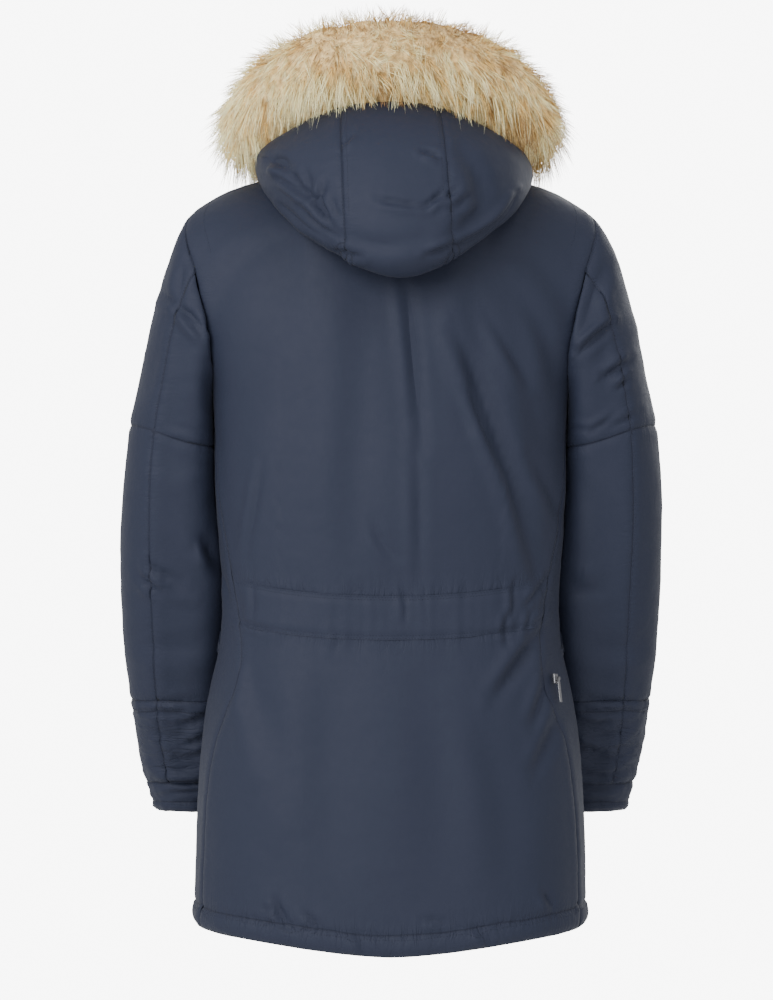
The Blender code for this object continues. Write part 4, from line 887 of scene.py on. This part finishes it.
def puckerSeams(thing, node, faces, wrinkle):
    points = readPoints(thing)
    normals = outerNormals(thing, faces)
    loops = boundaryLoops(thing, faces)
    shares = (0, 0.25, 0.5, 0.75)
    spots = np.concatenate([
        path + (np.roll(path, -1, 0) - path) * share for path, _, _ in loops for share in shares])
    inwards = np.concatenate([inward for _, inward, _ in loops for share in shares])
    runs = np.concatenate([along for _, _, along in loops for share in shares])
    seam = nearestOf(spots)
    hems = []
    for part, low, high, offset, share, puff in grooves:
        level = spots[(spots[:, 2] > low) & (spots[:, 2] < high) & (np.abs(inwards[:, 2]) > 0.45)]
        if node.startswith(part) and len(level):
            hems.append((nearestOf(level), offset, share, puff))
    used = np.unique(np.concatenate([list(face.vertices) for face in faces]))
    move = np.zeros(len(points))
    seamAway, hemAway = np.full(len(points), farAway), np.full(len(points), farAway)
    rumple = np.zeros(len(points))
    edgeIn = {}
    for index in used:
        spot, which, distance = seam.find(points[index])
        if distance < 0.02 * mm:
            edgeIn[index] = inwards[which]
        along = noise.noise(Vector(spot) / clothCut["puckerPitch"])
        reach = clothCut["puckerReach"] * (0.7 + 0.6 * abs(noise.noise(Vector(spot) * 23)))
        ruffle = along * clothCut["puckerDepth"] * (0.5 + 1.4 * wrinkle) * math.exp(-distance / reach)
        dip = -clothCut["seamDip"] * math.exp(-((distance / clothCut["seamWidth"]) ** 2))
        plump = clothCut["seamPlump"] * math.exp(-((distance - clothCut["seamPlumpAt"]) / (6 * mm)) ** 2)
        move[index] = ruffle + dip + plump
        seamAway[index] = distance / mm
        crosswise = 2 * abs(runs[which][2]) - 1
        rumple[index] = crosswise * 0.55 * math.exp(-distance / reach)
        for hem, offset, share, puff in hems:
            hemDistance = hem.find(points[index])[2]
            beside = abs(hemDistance - offset)
            if beside > clothCut["grooveReach"]:
                continue
            groove = clothCut["grooveDepth"] * math.exp(-((beside / clothCut["grooveWidth"]) ** 2))
            move[index] -= share * groove
            move[index] += along * clothCut["puckerDepth"] * 1.3 * math.exp(-beside / (12 * mm))
            if hemDistance < offset:
                move[index] += puff * math.sin(math.pi * hemDistance / offset)
            if beside < abs(hemAway[index]) * mm:
                wander = 1.4 * noise.noise(Vector(points[index]) * 28)
                hemAway[index] = (hemDistance - offset) / mm + wander
            rumple[index] -= 0.9 * math.exp(-beside / (11 * mm))
    behind, before = [creaseRows(rows, True) for rows in panels[node][3:5]]
    move[used] += creasesOn(thing, points[used], normals[used], behind, before, "narrowCrease")
    if wrinkle > 0.6:
        move[used] += crumple(points[used])
        rumple[used] += 0.8
    if node == "back_panel":
        move[used] += channelPuckers(points[used])
        channel = channelEdges(points[used])
        rumple[used] -= 0.9 * np.exp(-channel / (9 * mm)) * (points[used][:, 1] > 0)
    quiet = nearZips(points[used], 10 * mm)
    move[used] *= quiet
    rumple[used] *= quiet
    for name, values in (("seamAway", seamAway), ("hemAway", hemAway), ("rumple", rumple)):
        layer = thing.data.attributes.new(name, "FLOAT", "POINT")
        layer.data.foreach_set("value", values)
    points += normals * move[:, None]
    for index, inward in edgeIn.items():
        points[index] -= inward * clothCut["seamClose"]
    writePoints(thing, points)


def crumple(points):
    # uneven rows of small wrinkles round the lower sleeve
    bend = driftNoise(points, (11, 11, 9), 4.4) * 5 + driftNoise(points, (30, 30, 20), 7.7) * 1.6
    rows = -np.abs(np.sin(math.pi * points[:, 2] / clothCut["crumplePitch"] + bend)) ** 0.7
    patches = softStep(0.5 + 1.3 * driftNoise(points, (15, 15, 26), 1.9))
    return (rows + 0.5) * patches * clothCut["crumple"]


def channelEdges(points):
    # distance to the nearer edge of the waist channel
    rise = (points[:, 0] / channelCut["halfWidth"]) ** 2
    edges = [middle + higher * rise for middle, higher in (channelCut["top"], channelCut["bottom"])]
    return np.minimum(*[np.abs(points[:, 2] - edge) for edge in edges])


def channelPuckers(points):
    # short gathers on both edges of the waist channel
    near = 1.2 * np.exp(-channelEdges(points) / channelCut["gatherReach"])
    gathers = driftNoise(points, (105, 40, 7), 2.2) + 0.6 * driftNoise(points, (46, 20, 5), 8.8)
    return gathers * near * channelCut["gathers"] * (points[:, 1] > 0)


buildStudio()
for node in panels:
    sewPanel(node)
print("cloth panels sewn:", len(panels))


def sewChannel():
    thing = copyNode("waist_channel", "waistChannelCloth")
    keepOutside(thing)
    subdivideCloth(thing, 3)
    foldCloth(thing, backCreases, backCreases, 0)
    points, normals = readPoints(thing), readNormals(thing)
    faces = list(thing.data.polygons)
    edge = nearestOf(np.concatenate([spots for spots, _, _ in boundaryLoops(thing, faces)]))
    distance = np.array([edge.find(Vector(point))[2] for point in points])
    depth = creasesOn(thing, points, normals, creaseRows(backCreases, True), []) + channelPuckers(points)
    writePoints(thing, points + normals * depth[:, None])
    points, normals = readPoints(thing), readNormals(thing)
    ripple = driftNoise(points, (1 / channelCut["pitch"], 1 / channelCut["pitch"], 9), 2.2)
    patchy = 0.55 + 0.9 * driftNoise(points, (14, 14, 5), 6.1)
    middle = softStep(distance / (11 * mm))
    lift = ripple * channelCut["ripple"] * (0.45 + 0.55 * middle) * patchy
    lift += channelCut["puff"] * middle - channelCut["sink"]
    lift -= channelCut["stitchDip"] * np.exp(-(((distance - 4 * mm) / (2.2 * mm)) ** 2))
    writePoints(thing, points + normals * lift[:, None])
    thickenCloth(thing, channelCut["wall"])
    faces = list(thing.data.polygons)[:len(faces)]
    sheets["waist_channel"] = (surfaceOf(thing, faces), boundaryLoops(thing, faces))
    thing.data.materials.append(navyPlain)
    bpy.ops.object.shade_smooth_by_angle(angle=clothCut["smoothBelow"])
    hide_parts("waist_channel")
    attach(thing, "parka")


sewChannel()
print("waist channel sewn")


def onEdge(edge, spots, inward):
    # which points of an outline lie on the wanted edge
    across, aside = np.abs(inward[:, 0]), np.abs(spots[:, 0])
    outward = np.sign(spots[:, 0]) * inward[:, 0]
    return {
        "top": inward[:, 2] < -0.45,
        "bottom": inward[:, 2] > 0.45,
        "side": across > 0.75,
        "seam": (across > 0.75) & (aside < 0.078),
        "middle": (across > 0.8) & (aside < 0.03),
        "back": (outward > 0.35) & (spots[:, 1] > np.median(spots[:, 1])),
    }[edge]


def edgeRuns(node, edge):
    # the unbroken stretches of one edge of a panel
    runs = []
    for spots, inward, _ in sheets[node][1]:
        keep = onEdge(edge, spots, inward)
        if keep.all():
            runs.append((spots, inward))
            continue
        if not keep.any():
            continue
        shift = int(np.argmin(keep))
        keep, turned, into = [np.roll(row, -shift, 0) for row in (keep, spots, inward)]
        for first in np.flatnonzero(keep & ~np.roll(keep, 1)):
            last = first
            while last < len(keep) and keep[last]:
                last += 1
            if last - first > 4:
                runs.append((turned[first:last], into[first:last]))
    return runs


def rowOfPoints(path, pitch):
    gaps = np.linalg.norm(np.diff(path, axis=0), axis=1)
    length = np.concatenate([[0], np.cumsum(gaps)])
    places = np.arange(pitch, length[-1] - pitch, pitch)
    return np.stack([np.interp(places, length, path[:, axis]) for axis in range(3)], axis=1)


def placeOn(tree, points):
    spots, normals = [], []
    for point in points:
        spot, normal, _, _ = tree.find_nearest(Vector(point))
        spots.append(spot)
        normals.append(normal)
    return np.array(spots), np.array(normals)


furTrim = {
    # x, y, z and radius from the centre back to the front end, in millimetres
    "rows": [(0, 115, 131, 51), (66, 105, 124, 50), (115, 72, 105, 49), (143, 28, 80, 46.5),
             (149, -20, 66, 45), (128, -68, 61, 41), (85, -102, 56, 32)],
    "hairs": 17600,
    "underHairs": 12000,
    "strayHairs": 350,
    "rimHairs": 3000,
    "rootShare": 0.75,
    "guardRadius": 0.31 * mm,
    "underRadius": 0.24 * mm,
    "tuftsAlong": 118,
    "tuftsRound": 30,
    "rimReach": 17 * mm,
    "rimFade": 5 * mm,
    "seed": 11,
    "guardLong": 0.030,
    "underLong": 0.022,
    "strayLong": 0.036,
    "strayTone": 0.1,
    "rimLong": (0.013, 0.024),
    "usualRadius": 0.047,
    "tuftLong": (0.80, 1.22),
    "hairLong": (0.78, 1.12),
    "gather": (0.25, 0.88),
    "parting": 1.30,
    "outward": 0.58,
    "comb": 0.62,
    "waves": 0.60,
    "tuftLean": 0.27,
    "hairLean": 0.12,
    "overHood": 0.25,
    "shortOnTop": 0.34,
}


def furLine(share):
    # middle of the trim at -1 (right end) to 1 (left end), and its radius
    rows = np.array(furTrim["rows"]) * mm
    both = np.concatenate([rows[:0:-1] * np.array([-1, 1, 1, 1]), rows])
    places = np.linspace(-1, 1, len(both))
    share = np.clip(share, -1, 1)
    low = np.clip(np.searchsorted(places, share) - 1, 0, len(places) - 2)
    t = ((share - places[low]) / (places[low + 1] - places[low]))[:, None]
    slopes = np.gradient(both, axis=0)
    value = (both[low] * (2 * t ** 3 - 3 * t ** 2 + 1) + both[low + 1] * (3 * t ** 2 - 2 * t ** 3)
             + slopes[low] * (t ** 3 - 2 * t ** 2 + t) + slopes[low + 1] * (t ** 3 - t ** 2))
    return value[:, :3], value[:, 3]


def furAxes(share):
    run = unit(furLine(share + 0.01)[0] - furLine(share - 0.01)[0])
    middle = furLine(share)[0] * np.array([1, 1, 0])
    out = unit(middle - run * np.sum(middle * run, axis=1, keepdims=True))
    up = unit(np.cross(out, run))
    up = np.where(up[:, 2:3] < 0, -up, up)
    return run, out, up


def growHairs(random, count, long, thick, rings):
    # evenly along the trim's real length
    steps = np.linspace(-1, 1, 401)
    length = np.concatenate([[0], np.cumsum(np.linalg.norm(np.diff(furLine(steps)[0], axis=0), axis=1))])
    share = np.interp(random.uniform(0, length[-1], count), length, steps)
    atEnd = random.uniform(0, 1, count) < 0.05
    share = np.where(atEnd, np.sign(share) * random.uniform(0.96, 1.0, count), share)
    endness = softStep((np.abs(share) - 0.95) / 0.05)
    turn = random.uniform(0, 2 * math.pi, count)
    # hairs of one tuft share its place, length, tone and lean
    cellShare = np.floor((share + 1) / 2 * furTrim["tuftsAlong"]).astype(int)
    cellTurn = np.floor(turn / (2 * math.pi) * furTrim["tuftsRound"] + 0.5 * (cellShare % 2)).astype(int)
    tuft = cellShare * 1000 + cellTurn % furTrim["tuftsRound"]
    keys, which = np.unique(tuft, return_inverse=True)
    tuftShare = keys // 1000 + random.uniform(0.1, 0.9, len(keys))
    tuftShare = (tuftShare / furTrim["tuftsAlong"] * 2 - 1)[which]
    tuftTurn = ((keys % 1000 - 0.5 * ((keys // 1000) % 2) + random.uniform(0.1, 0.9, len(keys)))
                / furTrim["tuftsRound"] * 2 * math.pi)[which]
    tuftLong = random.uniform(*furTrim["tuftLong"], len(keys))[which]
    tuftTone = random.uniform(0, 1, len(keys))[which]
    tuftLean = random.normal(0, 1, (len(keys), 3))[which]

    middle, radius = furLine(share)
    run, out, up = furAxes(share)
    radial = out * np.cos(turn)[:, None] + up * np.sin(turn)[:, None]
    inset = furTrim["rootShare"] * (1 - endness * (1 - np.sqrt(random.uniform(0, 1, count))))
    root = middle + radial * (radius * inset)[:, None]
    tuftMiddle, tuftRadius = furLine(tuftShare)
    _, tuftOut, tuftUp = furAxes(tuftShare)
    tuftRadial = tuftOut * np.cos(tuftTurn)[:, None] + tuftUp * np.sin(tuftTurn)[:, None]
    # combed away from a parting high on the trim, toward its two ends and down
    wander = np.array([noise.noise(Vector((place * 4, 0, 7))) for place in share])
    parting = furTrim["parting"] + 0.55 * wander
    comb = up * np.cos(turn)[:, None] - out * np.sin(turn)[:, None]
    comb = np.tanh(2.0 * np.sin(turn - parting))[:, None] * comb
    toEnds = (np.tanh(share * 3.0) * (0.62 - 0.3 * np.abs(share)))[:, None]
    drop = (0.06 + 0.34 * np.abs(share))[:, None] * np.array([0, 0, -1.0])
    ways = np.stack([driftNoise(root, (17, 17, 17), shift) for shift in (1.3, 5.9, 8.2)], axis=1)
    sweep = toEnds * run + furTrim["comb"] * comb + drop + furTrim["waves"] * ways
    sweep = sweep + (1.5 * endness * np.sign(share))[:, None] * run
    droop = np.array([0, 0, -1.0]) * (0.10 + 0.14 * np.abs(share))[:, None]
    hairLong = long * radius / furTrim["usualRadius"] * tuftLong
    hairLong = hairLong * random.uniform(*furTrim["hairLong"], count)
    ends = np.clip((1 - np.abs(share)) / 0.06, 0.55, 1)
    overHood = softStep(-np.sin(turn) * 2) * softStep(np.cos(turn) * 2 + 0.6) * (np.abs(share) < 0.75)
    onTop = np.maximum(np.sin(turn), 0) ** 2
    hairLong = hairLong * ends * (1 + furTrim["overHood"] * overHood)
    hairLong = hairLong * (1 - furTrim["shortOnTop"] * onTop)
    lean = furTrim["tuftLean"] * tuftLean + furTrim["hairLean"] * random.normal(0, 1, (count, 3))
    aim = unit(furTrim["outward"] * radial + sweep + lean)
    tuftAim = unit(furTrim["outward"] * tuftRadial + sweep + furTrim["tuftLean"] * tuftLean)
    hang = droop * (hairLong ** 2 / 0.035)[:, None]
    tip = root + aim * hairLong[:, None] + hang
    tuftRoot = tuftMiddle + tuftRadial * (tuftRadius * furTrim["rootShare"])[:, None]
    tuftTip = tuftRoot + tuftAim * hairLong[:, None] + hang
    gather = random.uniform(*furTrim["gather"], count)[:, None]
    tip = tip * (1 - gather) + tuftTip * gather
    belly = root + aim * (hairLong * 0.5)[:, None]
    belly = belly + 0.05 * hairLong[:, None] * random.normal(0, 1, (count, 3))

    # each hair's tone: its tuft, its own spread, the pelt's patches and the painted side shade
    tone = np.clip(0.8 * tuftTone + 0.2 * random.uniform(0, 1, count) + 0.6 * toneAndSideShade(root), 0, 1)
    return share, *hairRings(random, root, belly, tip, thick, rings), tone


def toneAndSideShade(roots):
    # golden and cream areas of the pelt, with painted shade darkening the wearer's right side, away from
    # the key light, and painted light on the left
    patches = driftNoise(roots, (30, 30, 30), 6.6) + 0.6 * driftNoise(roots, (70, 70, 70), 2.7)
    return patches + 0.30 * softStep(-roots[:, 0] / 0.12) - 0.12 * softStep(roots[:, 0] / 0.10)


def hairRings(random, root, belly, tip, thick, rings):
    # three-sided rings that taper to a point
    count = len(root)
    places = np.linspace(0, 1, rings + 1)
    tangentStart = unit(belly - root)
    sideways = unit(np.cross(tangentStart, unit(random.normal(0, 1, (count, 3)))))
    other = unit(np.cross(tangentStart, sideways))
    layers = []
    for v in places[:-1]:
        centre = root * (1 - v) ** 2 + 2 * belly * v * (1 - v) + tip * v ** 2
        size = thick * (1 - 0.75 * v ** 1.5)
        for corner in range(3):
            angle = 2 * math.pi * corner / 3
            layers.append(centre + size * (sideways * math.cos(angle) + other * math.sin(angle)))
    layers.append(tip)
    points = np.stack(layers, axis=1)   # hair, point, xyz
    along = np.concatenate([np.repeat(places[:-1], 3), [1.0]])
    return points, along


hoodNodes = ("hood_left", "hood_centre", "hood_right")


def rimHairs(random):
    # hairs that fall over the hood's top edge
    spots, inwards, outs = [], [], []
    trim = BVHTree.FromPolygons(*clothPolygons(("fur_trim",)))
    for node in hoodNodes:
        tree = sheets[node][0]
        for path, inward in edgeRuns(node, "top"):
            normals = placeOn(tree, path + inward * mm)[1]
            near = np.array([trim.find_nearest(Vector(spot))[3] for spot in path]) < 5 * mm
            spots.append(path[near])
            inwards.append(inward[near])
            outs.append(normals[near])
    spots, inwards, outs = np.concatenate(spots), np.concatenate(inwards), np.concatenate(outs)
    count = furTrim["rimHairs"]
    pick = random.integers(0, len(spots), count)
    jitter = random.uniform(-2.2, 2.2, (count, 1)) * mm
    side = unit(np.cross(outs, inwards))[pick]
    spots, inwards, outs = spots[pick] + side * jitter, inwards[pick], outs[pick]
    root = spots - inwards * (random.uniform(0.5, 7, (count, 1)) * mm)
    root += outs * (random.uniform(-0.5, 3.5, (count, 1)) * mm)
    tufts = driftNoise(root, (120, 120, 120), 3.3)
    hairLong = random.uniform(*furTrim["rimLong"], count) * (1 + 0.5 * tufts)
    toSide = np.tanh(root[:, 0] / 0.03)[:, None] * np.array([1.0, 0, 0]) * 0.35
    ways = np.stack([driftNoise(root, (60, 60, 60), shift) for shift in (2.3, 4.9, 7.2)], axis=1)
    aim = unit(0.8 * inwards + 0.42 * outs + toSide + 0.7 * ways + 0.12 * random.normal(0, 1, (count, 3)))
    belly = root + (aim * 0.5 + outs * 0.10) * hairLong[:, None]
    tip = root + (aim * 0.75 + inwards * 0.25) * hairLong[:, None]
    # tone from the pelt's patches and the painted side shade
    tone = np.clip(0.45 + 0.35 * random.normal(0, 1, count) + 0.5 * toneAndSideShade(root), 0, 1)
    share = np.clip(root[:, 0] / 0.149, -0.6, 0.6)
    return share, *hairRings(random, root, belly, tip, furTrim["guardRadius"], 3), tone


def hairFaces(rings):
    faces = [(2, 1, 0)]
    for ring in range(rings - 1):
        for corner in range(3):
            a, b = ring * 3 + corner, ring * 3 + (corner + 1) % 3
            faces.append((a, b, b + 3))
            faces.append((a, b + 3, a + 3))
    last = (rings - 1) * 3
    for corner in range(3):
        faces.append((last + corner, last + (corner + 1) % 3, rings * 3))
    return np.array(faces)


def furMesh(name, groups):
    points, faces, layouts, start = [], [], [], 0
    for hairs, along, tone, pattern in groups:
        perHair = hairs.shape[1]
        base = start + np.arange(len(hairs))[:, None, None] * perHair
        corner = pattern[None] + base
        points.append(hairs.reshape(-1, 3))
        faces.append(corner.reshape(-1, 3))
        u = np.repeat(tone[:, None], pattern.size, axis=1)
        v = np.repeat(along[pattern.ravel()][None], len(hairs), axis=0)
        layouts.append(np.stack([u, v], axis=-1).reshape(-1, 2))
        start += len(hairs) * perHair
    points = np.concatenate(points)
    faces = np.concatenate(faces)
    mesh = bpy.data.meshes.new(name)
    mesh.vertices.add(len(points))
    mesh.vertices.foreach_set("co", points.ravel())
    mesh.loops.add(faces.size)
    mesh.loops.foreach_set("vertex_index", faces.ravel())
    mesh.polygons.add(len(faces))
    mesh.polygons.foreach_set("loop_start", np.arange(0, faces.size, 3))
    mesh.update(calc_edges=True)
    layout = mesh.uv_layers.new(name="OFBake")
    layout.data.foreach_set("uv", np.concatenate(layouts).ravel())
    mesh.materials.append(foxFur)
    thing = bpy.data.objects.new(name, mesh)
    bpy.context.scene.collection.objects.link(thing)
    mesh.shade_smooth()
    return thing


def growFur():
    random = np.random.default_rng(furTrim["seed"])
    guard = growHairs(random, furTrim["hairs"], furTrim["guardLong"], furTrim["guardRadius"], 3)
    under = growHairs(random, furTrim["underHairs"], furTrim["underLong"], furTrim["underRadius"], 2)
    strays = growHairs(random, furTrim["strayHairs"], furTrim["strayLong"], furTrim["underRadius"], 3)
    strays[3][:] = furTrim["strayTone"]
    rim = rimHairs(random)
    guardPattern, underPattern = hairFaces(3), hairFaces(2)
    grown = ((guard, guardPattern), (under, underPattern), (strays, guardPattern), (rim, guardPattern))
    names = ("furRightEnd", "furRightBack", "furLeftBack", "furLeftEnd")
    edges = np.linspace(-1.001, 1.001, len(names) + 1)
    for name, low, high in zip(names, edges[:-1], edges[1:]):
        groups = []
        for (share, points, along, tone), pattern in grown:
            here = (share >= low) & (share < high)
            groups.append((points[here], along, tone[here], pattern))
        thing = furMesh(name, groups)
        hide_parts("fur_trim")
        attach(thing, "parka")


def layUnderfur():
    # dense underfur that carries the hairs
    core = copyNode("fur_trim", "furSkin")
    points = readPoints(core)
    tree = nearestOf(furLine(np.linspace(-1, 1, 301))[0])
    for index, point in enumerate(points):
        spot = np.array(tree.find(point)[0])
        end = min(max((abs(point[0]) < 0.11) * (-0.075 - point[1]) / 0.03, 0), 1)
        points[index] = spot + (point - spot) * (0.80 - 0.20 * end)
    writePoints(core, points)
    smooth = core.modifiers.new("smooth", "SUBSURF")
    smooth.levels = smooth.render_levels = 2
    applyModifiers(core)
    # its underside is drawn down onto the hood's edge
    points = readPoints(core)
    for index, point in enumerate(points):
        near = [sheets[part][0].find_nearest(Vector(point)) for part in hoodNodes]
        spot, _, _, gap = min(near, key=lambda found: found[3])
        pull = math.exp(-((max(gap - furTrim["rimReach"], 0) / furTrim["rimFade"]) ** 2))
        points[index] += (np.array(spot) - np.array([0, 0, 1]) * mm - point) * pull
    writePoints(core, points)
    normals = readNormals(core)
    tufts = driftNoise(points, (48, 48, 48), 1.0) * 2.6 + driftNoise(points, (120, 120, 120), 4.0) * 1.8
    writePoints(core, points + normals * (tufts * mm)[:, None])
    core.data.materials.append(furSkinMaterial())
    core.data.shade_smooth()
    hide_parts("fur_trim")
    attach(core, "parka")


growFur()
layUnderfur()
print("fur grown")


stitchCut = {"pitch": 3.3 * mm, "length": 2.3 * mm, "radius": 0.26 * mm}
# panel, which of its edges, distance of each row from that edge
stitchRows = [
    ("hood_centre", "side", (1.8 * mm, 6.8 * mm)),
    ("hood_left", "seam", (1.8 * mm,)),
    ("hood_right", "seam", (1.8 * mm,)),
    ("hood_centre", "top", (7.0 * mm, 8.8 * mm)),
    ("hood_left", "top", (7.0 * mm, 8.8 * mm)),
    ("hood_right", "top", (7.0 * mm, 8.8 * mm)),
    ("hood_centre", "bottom", (9.0 * mm,)),
    ("hood_left", "bottom", (9.0 * mm,)),
    ("hood_right", "bottom", (9.0 * mm,)),
    ("waist_channel", "top", (1.4 * mm, 4.6 * mm)),
    ("waist_channel", "bottom", (1.4 * mm, 4.6 * mm)),
    ("back_panel", "bottom", (26 * mm,)),
    ("front_left", "bottom", (26 * mm,)),
    ("front_right", "bottom", (26 * mm,)),
    ("front_left", "middle", (6 * mm,)),
    ("front_right", "middle", (6 * mm,)),
    ("collar", "top", (7 * mm,)),
]
for side in ("left", "right"):
    stitchRows += [
        (f"sleeve_upper_outer_{side}", "bottom", (2.0 * mm,)),
        (f"sleeve_upper_under_{side}", "bottom", (2.0 * mm,)),
        (f"sleeve_lower_outer_{side}", "top", (2.0 * mm, 12 * mm, 14 * mm)),
        (f"sleeve_lower_under_{side}", "top", (2.0 * mm, 12 * mm, 14 * mm)),
        (f"sleeve_upper_outer_{side}", "back", (2.0 * mm,)),
        (f"sleeve_elbow_outer_{side}", "back", (2.0 * mm,)),
        (f"sleeve_lower_outer_{side}", "back", (2.0 * mm,)),
        (f"cuff_{side}", "top", (2.0 * mm,)),
        (f"cuff_{side}", "bottom", (12 * mm,)),
    ]


def smallShapes(name, shape, faces, centres, alongs, normals, material):
    # copies of one small shape joined in a single mesh
    alongs = unit(alongs)
    across = unit(np.cross(normals, alongs))
    normals = np.cross(alongs, across)
    frames = np.stack([alongs, across, normals], axis=1)
    points = centres[:, None, :] + np.einsum("sk,nkx->nsx", shape, frames)
    pattern = faces[None] + (np.arange(len(centres)) * len(shape))[:, None, None]
    mesh = bpy.data.meshes.new(name)
    mesh.from_pydata(points.reshape(-1, 3), [], pattern.reshape(-1, faces.shape[1]).tolist())
    mesh.materials.append(material)
    thing = bpy.data.objects.new(name, mesh)
    bpy.context.scene.collection.objects.link(thing)
    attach(thing, "parka")
    return thing


def stitchShape():
    # a short rounded thread that dips into the cloth at both ends
    half, radius = stitchCut["length"] / 2, stitchCut["radius"]
    ring = [(0, 1), (1, 0), (0, -1), (-1, 0)]
    points = [(-half, 0, -radius)]
    points += [(-half * 0.55, a * radius, b * radius + radius * 0.5) for a, b in ring]
    points += [(half * 0.55, a * radius, b * radius + radius * 0.5) for a, b in ring]
    points += [(half, 0, -radius)]
    faces = []
    for corner in range(4):
        after = (corner + 1) % 4
        faces.append((0, 1 + after, 1 + corner))
        faces.append((1 + corner, 1 + after, 5 + after))
        faces.append((1 + corner, 5 + after, 5 + corner))
        faces.append((9, 5 + corner, 5 + after))
    return np.array(points), np.array(faces)


def sewStitches():
    centres, alongs, normals = [], [], []
    for node, edge, offsets in stitchRows:
        tree = sheets[node][0]
        for spots, inward in edgeRuns(node, edge):
            for offset in offsets:
                path, _ = placeOn(tree, spots + inward * offset)
                row = rowOfPoints(path, stitchCut["pitch"])
                if len(row) < 3:
                    continue
                spot, normal = placeOn(tree, row)
                centres.append(spot)
                normals.append(normal)
                alongs.append(np.gradient(row, axis=0))
    centres, alongs, normals = map(np.concatenate, (centres, alongs, normals))
    shape, faces = stitchShape()
    thread = smallShapes("topStitching", shape, faces, centres, alongs, normals, navyThread)
    thread.data.shade_smooth()
    print("stitches:", len(centres))


sewStitches()


zipCut = {
    "foot": 4.5 * mm,
    "frontPitch": 3.0 * mm,
    "tooth": (1.5 * mm, 3.0 * mm, 1.5 * mm),   # length, width and height
    "toothAside": 0.9 * mm,
    "coilPitch": 1.7 * mm,
    "coil": (1.0 * mm, 3.4 * mm, 1.0 * mm),
    "pocketWidth": 0.62,
    "pocketSink": 0.9 * mm,
    "hiddenEnd": 70 * mm,
    "hiddenDeep": 0.8 * mm,
    "tapeEdge": 0.35 * mm,
    "stations": 24,
}


def blockShape(long, wide, high):
    # a block with its upper edges cut back
    low, top = -0.3 * high, 0.7 * high
    points = [(x * long / 2, y * wide / 2, low) for x, y in ((-1, -1), (1, -1), (1, 1), (-1, 1))]
    points += [(x * long * 0.3, y * wide * 0.38, top) for x, y in ((-1, -1), (1, -1), (1, 1), (-1, 1))]
    faces = [(3, 2, 1, 0), (4, 5, 6, 7), (0, 1, 5, 4), (1, 2, 6, 5), (2, 3, 7, 6), (3, 0, 4, 7)]
    return np.array(points), np.array(faces)


def zipTape(node, name):
    tape = copyNode(node, name)
    tape.data.materials.append(navyTape)
    return tape, readPoints(tape)


def softenTape(tape):
    edge = tape.modifiers.new("softEdge", "BEVEL")
    edge.width = zipCut["tapeEdge"]
    edge.segments = 2
    edge.limit_method = "ANGLE"
    applyModifiers(tape)
    bpy.ops.object.shade_smooth_by_angle(angle=math.radians(40))


def sewFrontZip():
    tape, points = zipTape("front_zip", "frontZipTape")
    tree = surfaceOf(tape, tape.data.polygons)
    # its foot is turned in with the hem
    points[:, 2] -= zipCut["foot"] * (points[:, 2] < points[:, 2].min() + 2 * mm)
    writePoints(tape, points)
    softenTape(tape)
    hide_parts("front_zip")
    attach(tape, "parka")
    spots, normals = [], []
    low, high = points[:, 2].min() + 6 * mm, points[:, 2].max() - 4 * mm
    for height in np.arange(low, high, zipCut["frontPitch"] / 2):
        hit = tree.ray_cast(Vector((0.0, -0.4, height)), Vector((0, 1, 0)))
        if hit[0] is not None and hit[0].y < 0:
            spots.append(hit[0])
            normals.append(hit[1])
    spots, normals = np.array(spots), np.array(normals)
    runs, tooth = np.gradient(spots, axis=0), blockShape(*zipCut["tooth"])
    spots[:, 0] += zipCut["toothAside"] * np.where(np.arange(len(spots)) % 2, 1.0, -1.0)
    teeth = smallShapes("frontZipTeeth", *tooth, spots, runs, normals, zipMetal)


def sewPocketZip(node, name):
    tape, points = zipTape(node, name)
    fromCentre = points - points.mean(axis=0)
    reach = fromCentre @ np.linalg.svd(fromCentre)[2][0]
    body = BVHTree.FromPolygons(*clothPolygons(("back_panel", "front_left", "front_right")))
    count = zipCut["stations"]
    stations = np.linspace(reach.min(), reach.max(), count)
    nearest = [np.argsort(np.abs(reach - station))[:4] for station in stations]
    middle = np.array([points[rows].mean(axis=0) for rows in nearest])
    for index, point in enumerate(points):
        share = np.interp(reach[index], stations, np.arange(count))
        low = int(min(share, count - 2))
        axis = middle[low] * (1 - share + low) + middle[low + 1] * (share - low)
        spot, normal, _, _ = body.find_nearest(Vector(point))
        normal = np.array(normal)
        away = point - axis
        upward = normal * (away @ normal)
        points[index] = axis + (away - upward) * zipCut["pocketWidth"] + upward
        height = (point - np.array(spot)) @ normal
        points[index] -= normal * min(zipCut["pocketSink"], max(height, 0) * 0.5)
        hidden = float(softStep((point[1] - points[:, 1].max() + zipCut["hiddenEnd"]) / 0.02))
        points[index] -= normal * hidden * (max(height, 0) + zipCut["hiddenDeep"])
    writePoints(tape, points)
    softenTape(tape)
    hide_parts(node)
    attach(tape, "parka")
    tree = surfaceOf(tape, tape.data.polygons)
    spots, normals = [], []
    for point in rowOfPoints(middle[1:-1], zipCut["coilPitch"]):
        spot, normal, _, _ = body.find_nearest(Vector(point))
        hit = tree.ray_cast(spot + normal * 0.02, -normal)
        if hit[0] is not None and (hit[0] - spot) @ normal > 0:
            spots.append(hit[0])
            normals.append(hit[1])
    spots, normals = np.array(spots), np.array(normals)
    runs, turn = np.gradient(spots, axis=0), blockShape(*zipCut["coil"])
    coil = smallShapes(name.replace("Tape", "Coil"), *turn, spots, runs, normals, coilPlastic)


sewFrontZip()
sewPocketZip("pocket_zip_left", "pocketLeftTape")
sewPocketZip("pocket_zip_right", "pocketRightTape")
for node, thing in nodes.items():
    if node.endswith(("slider", "tab")):
        thing.data.materials.clear()
        thing.data.materials.append(zipMetal)
print("zips finished")
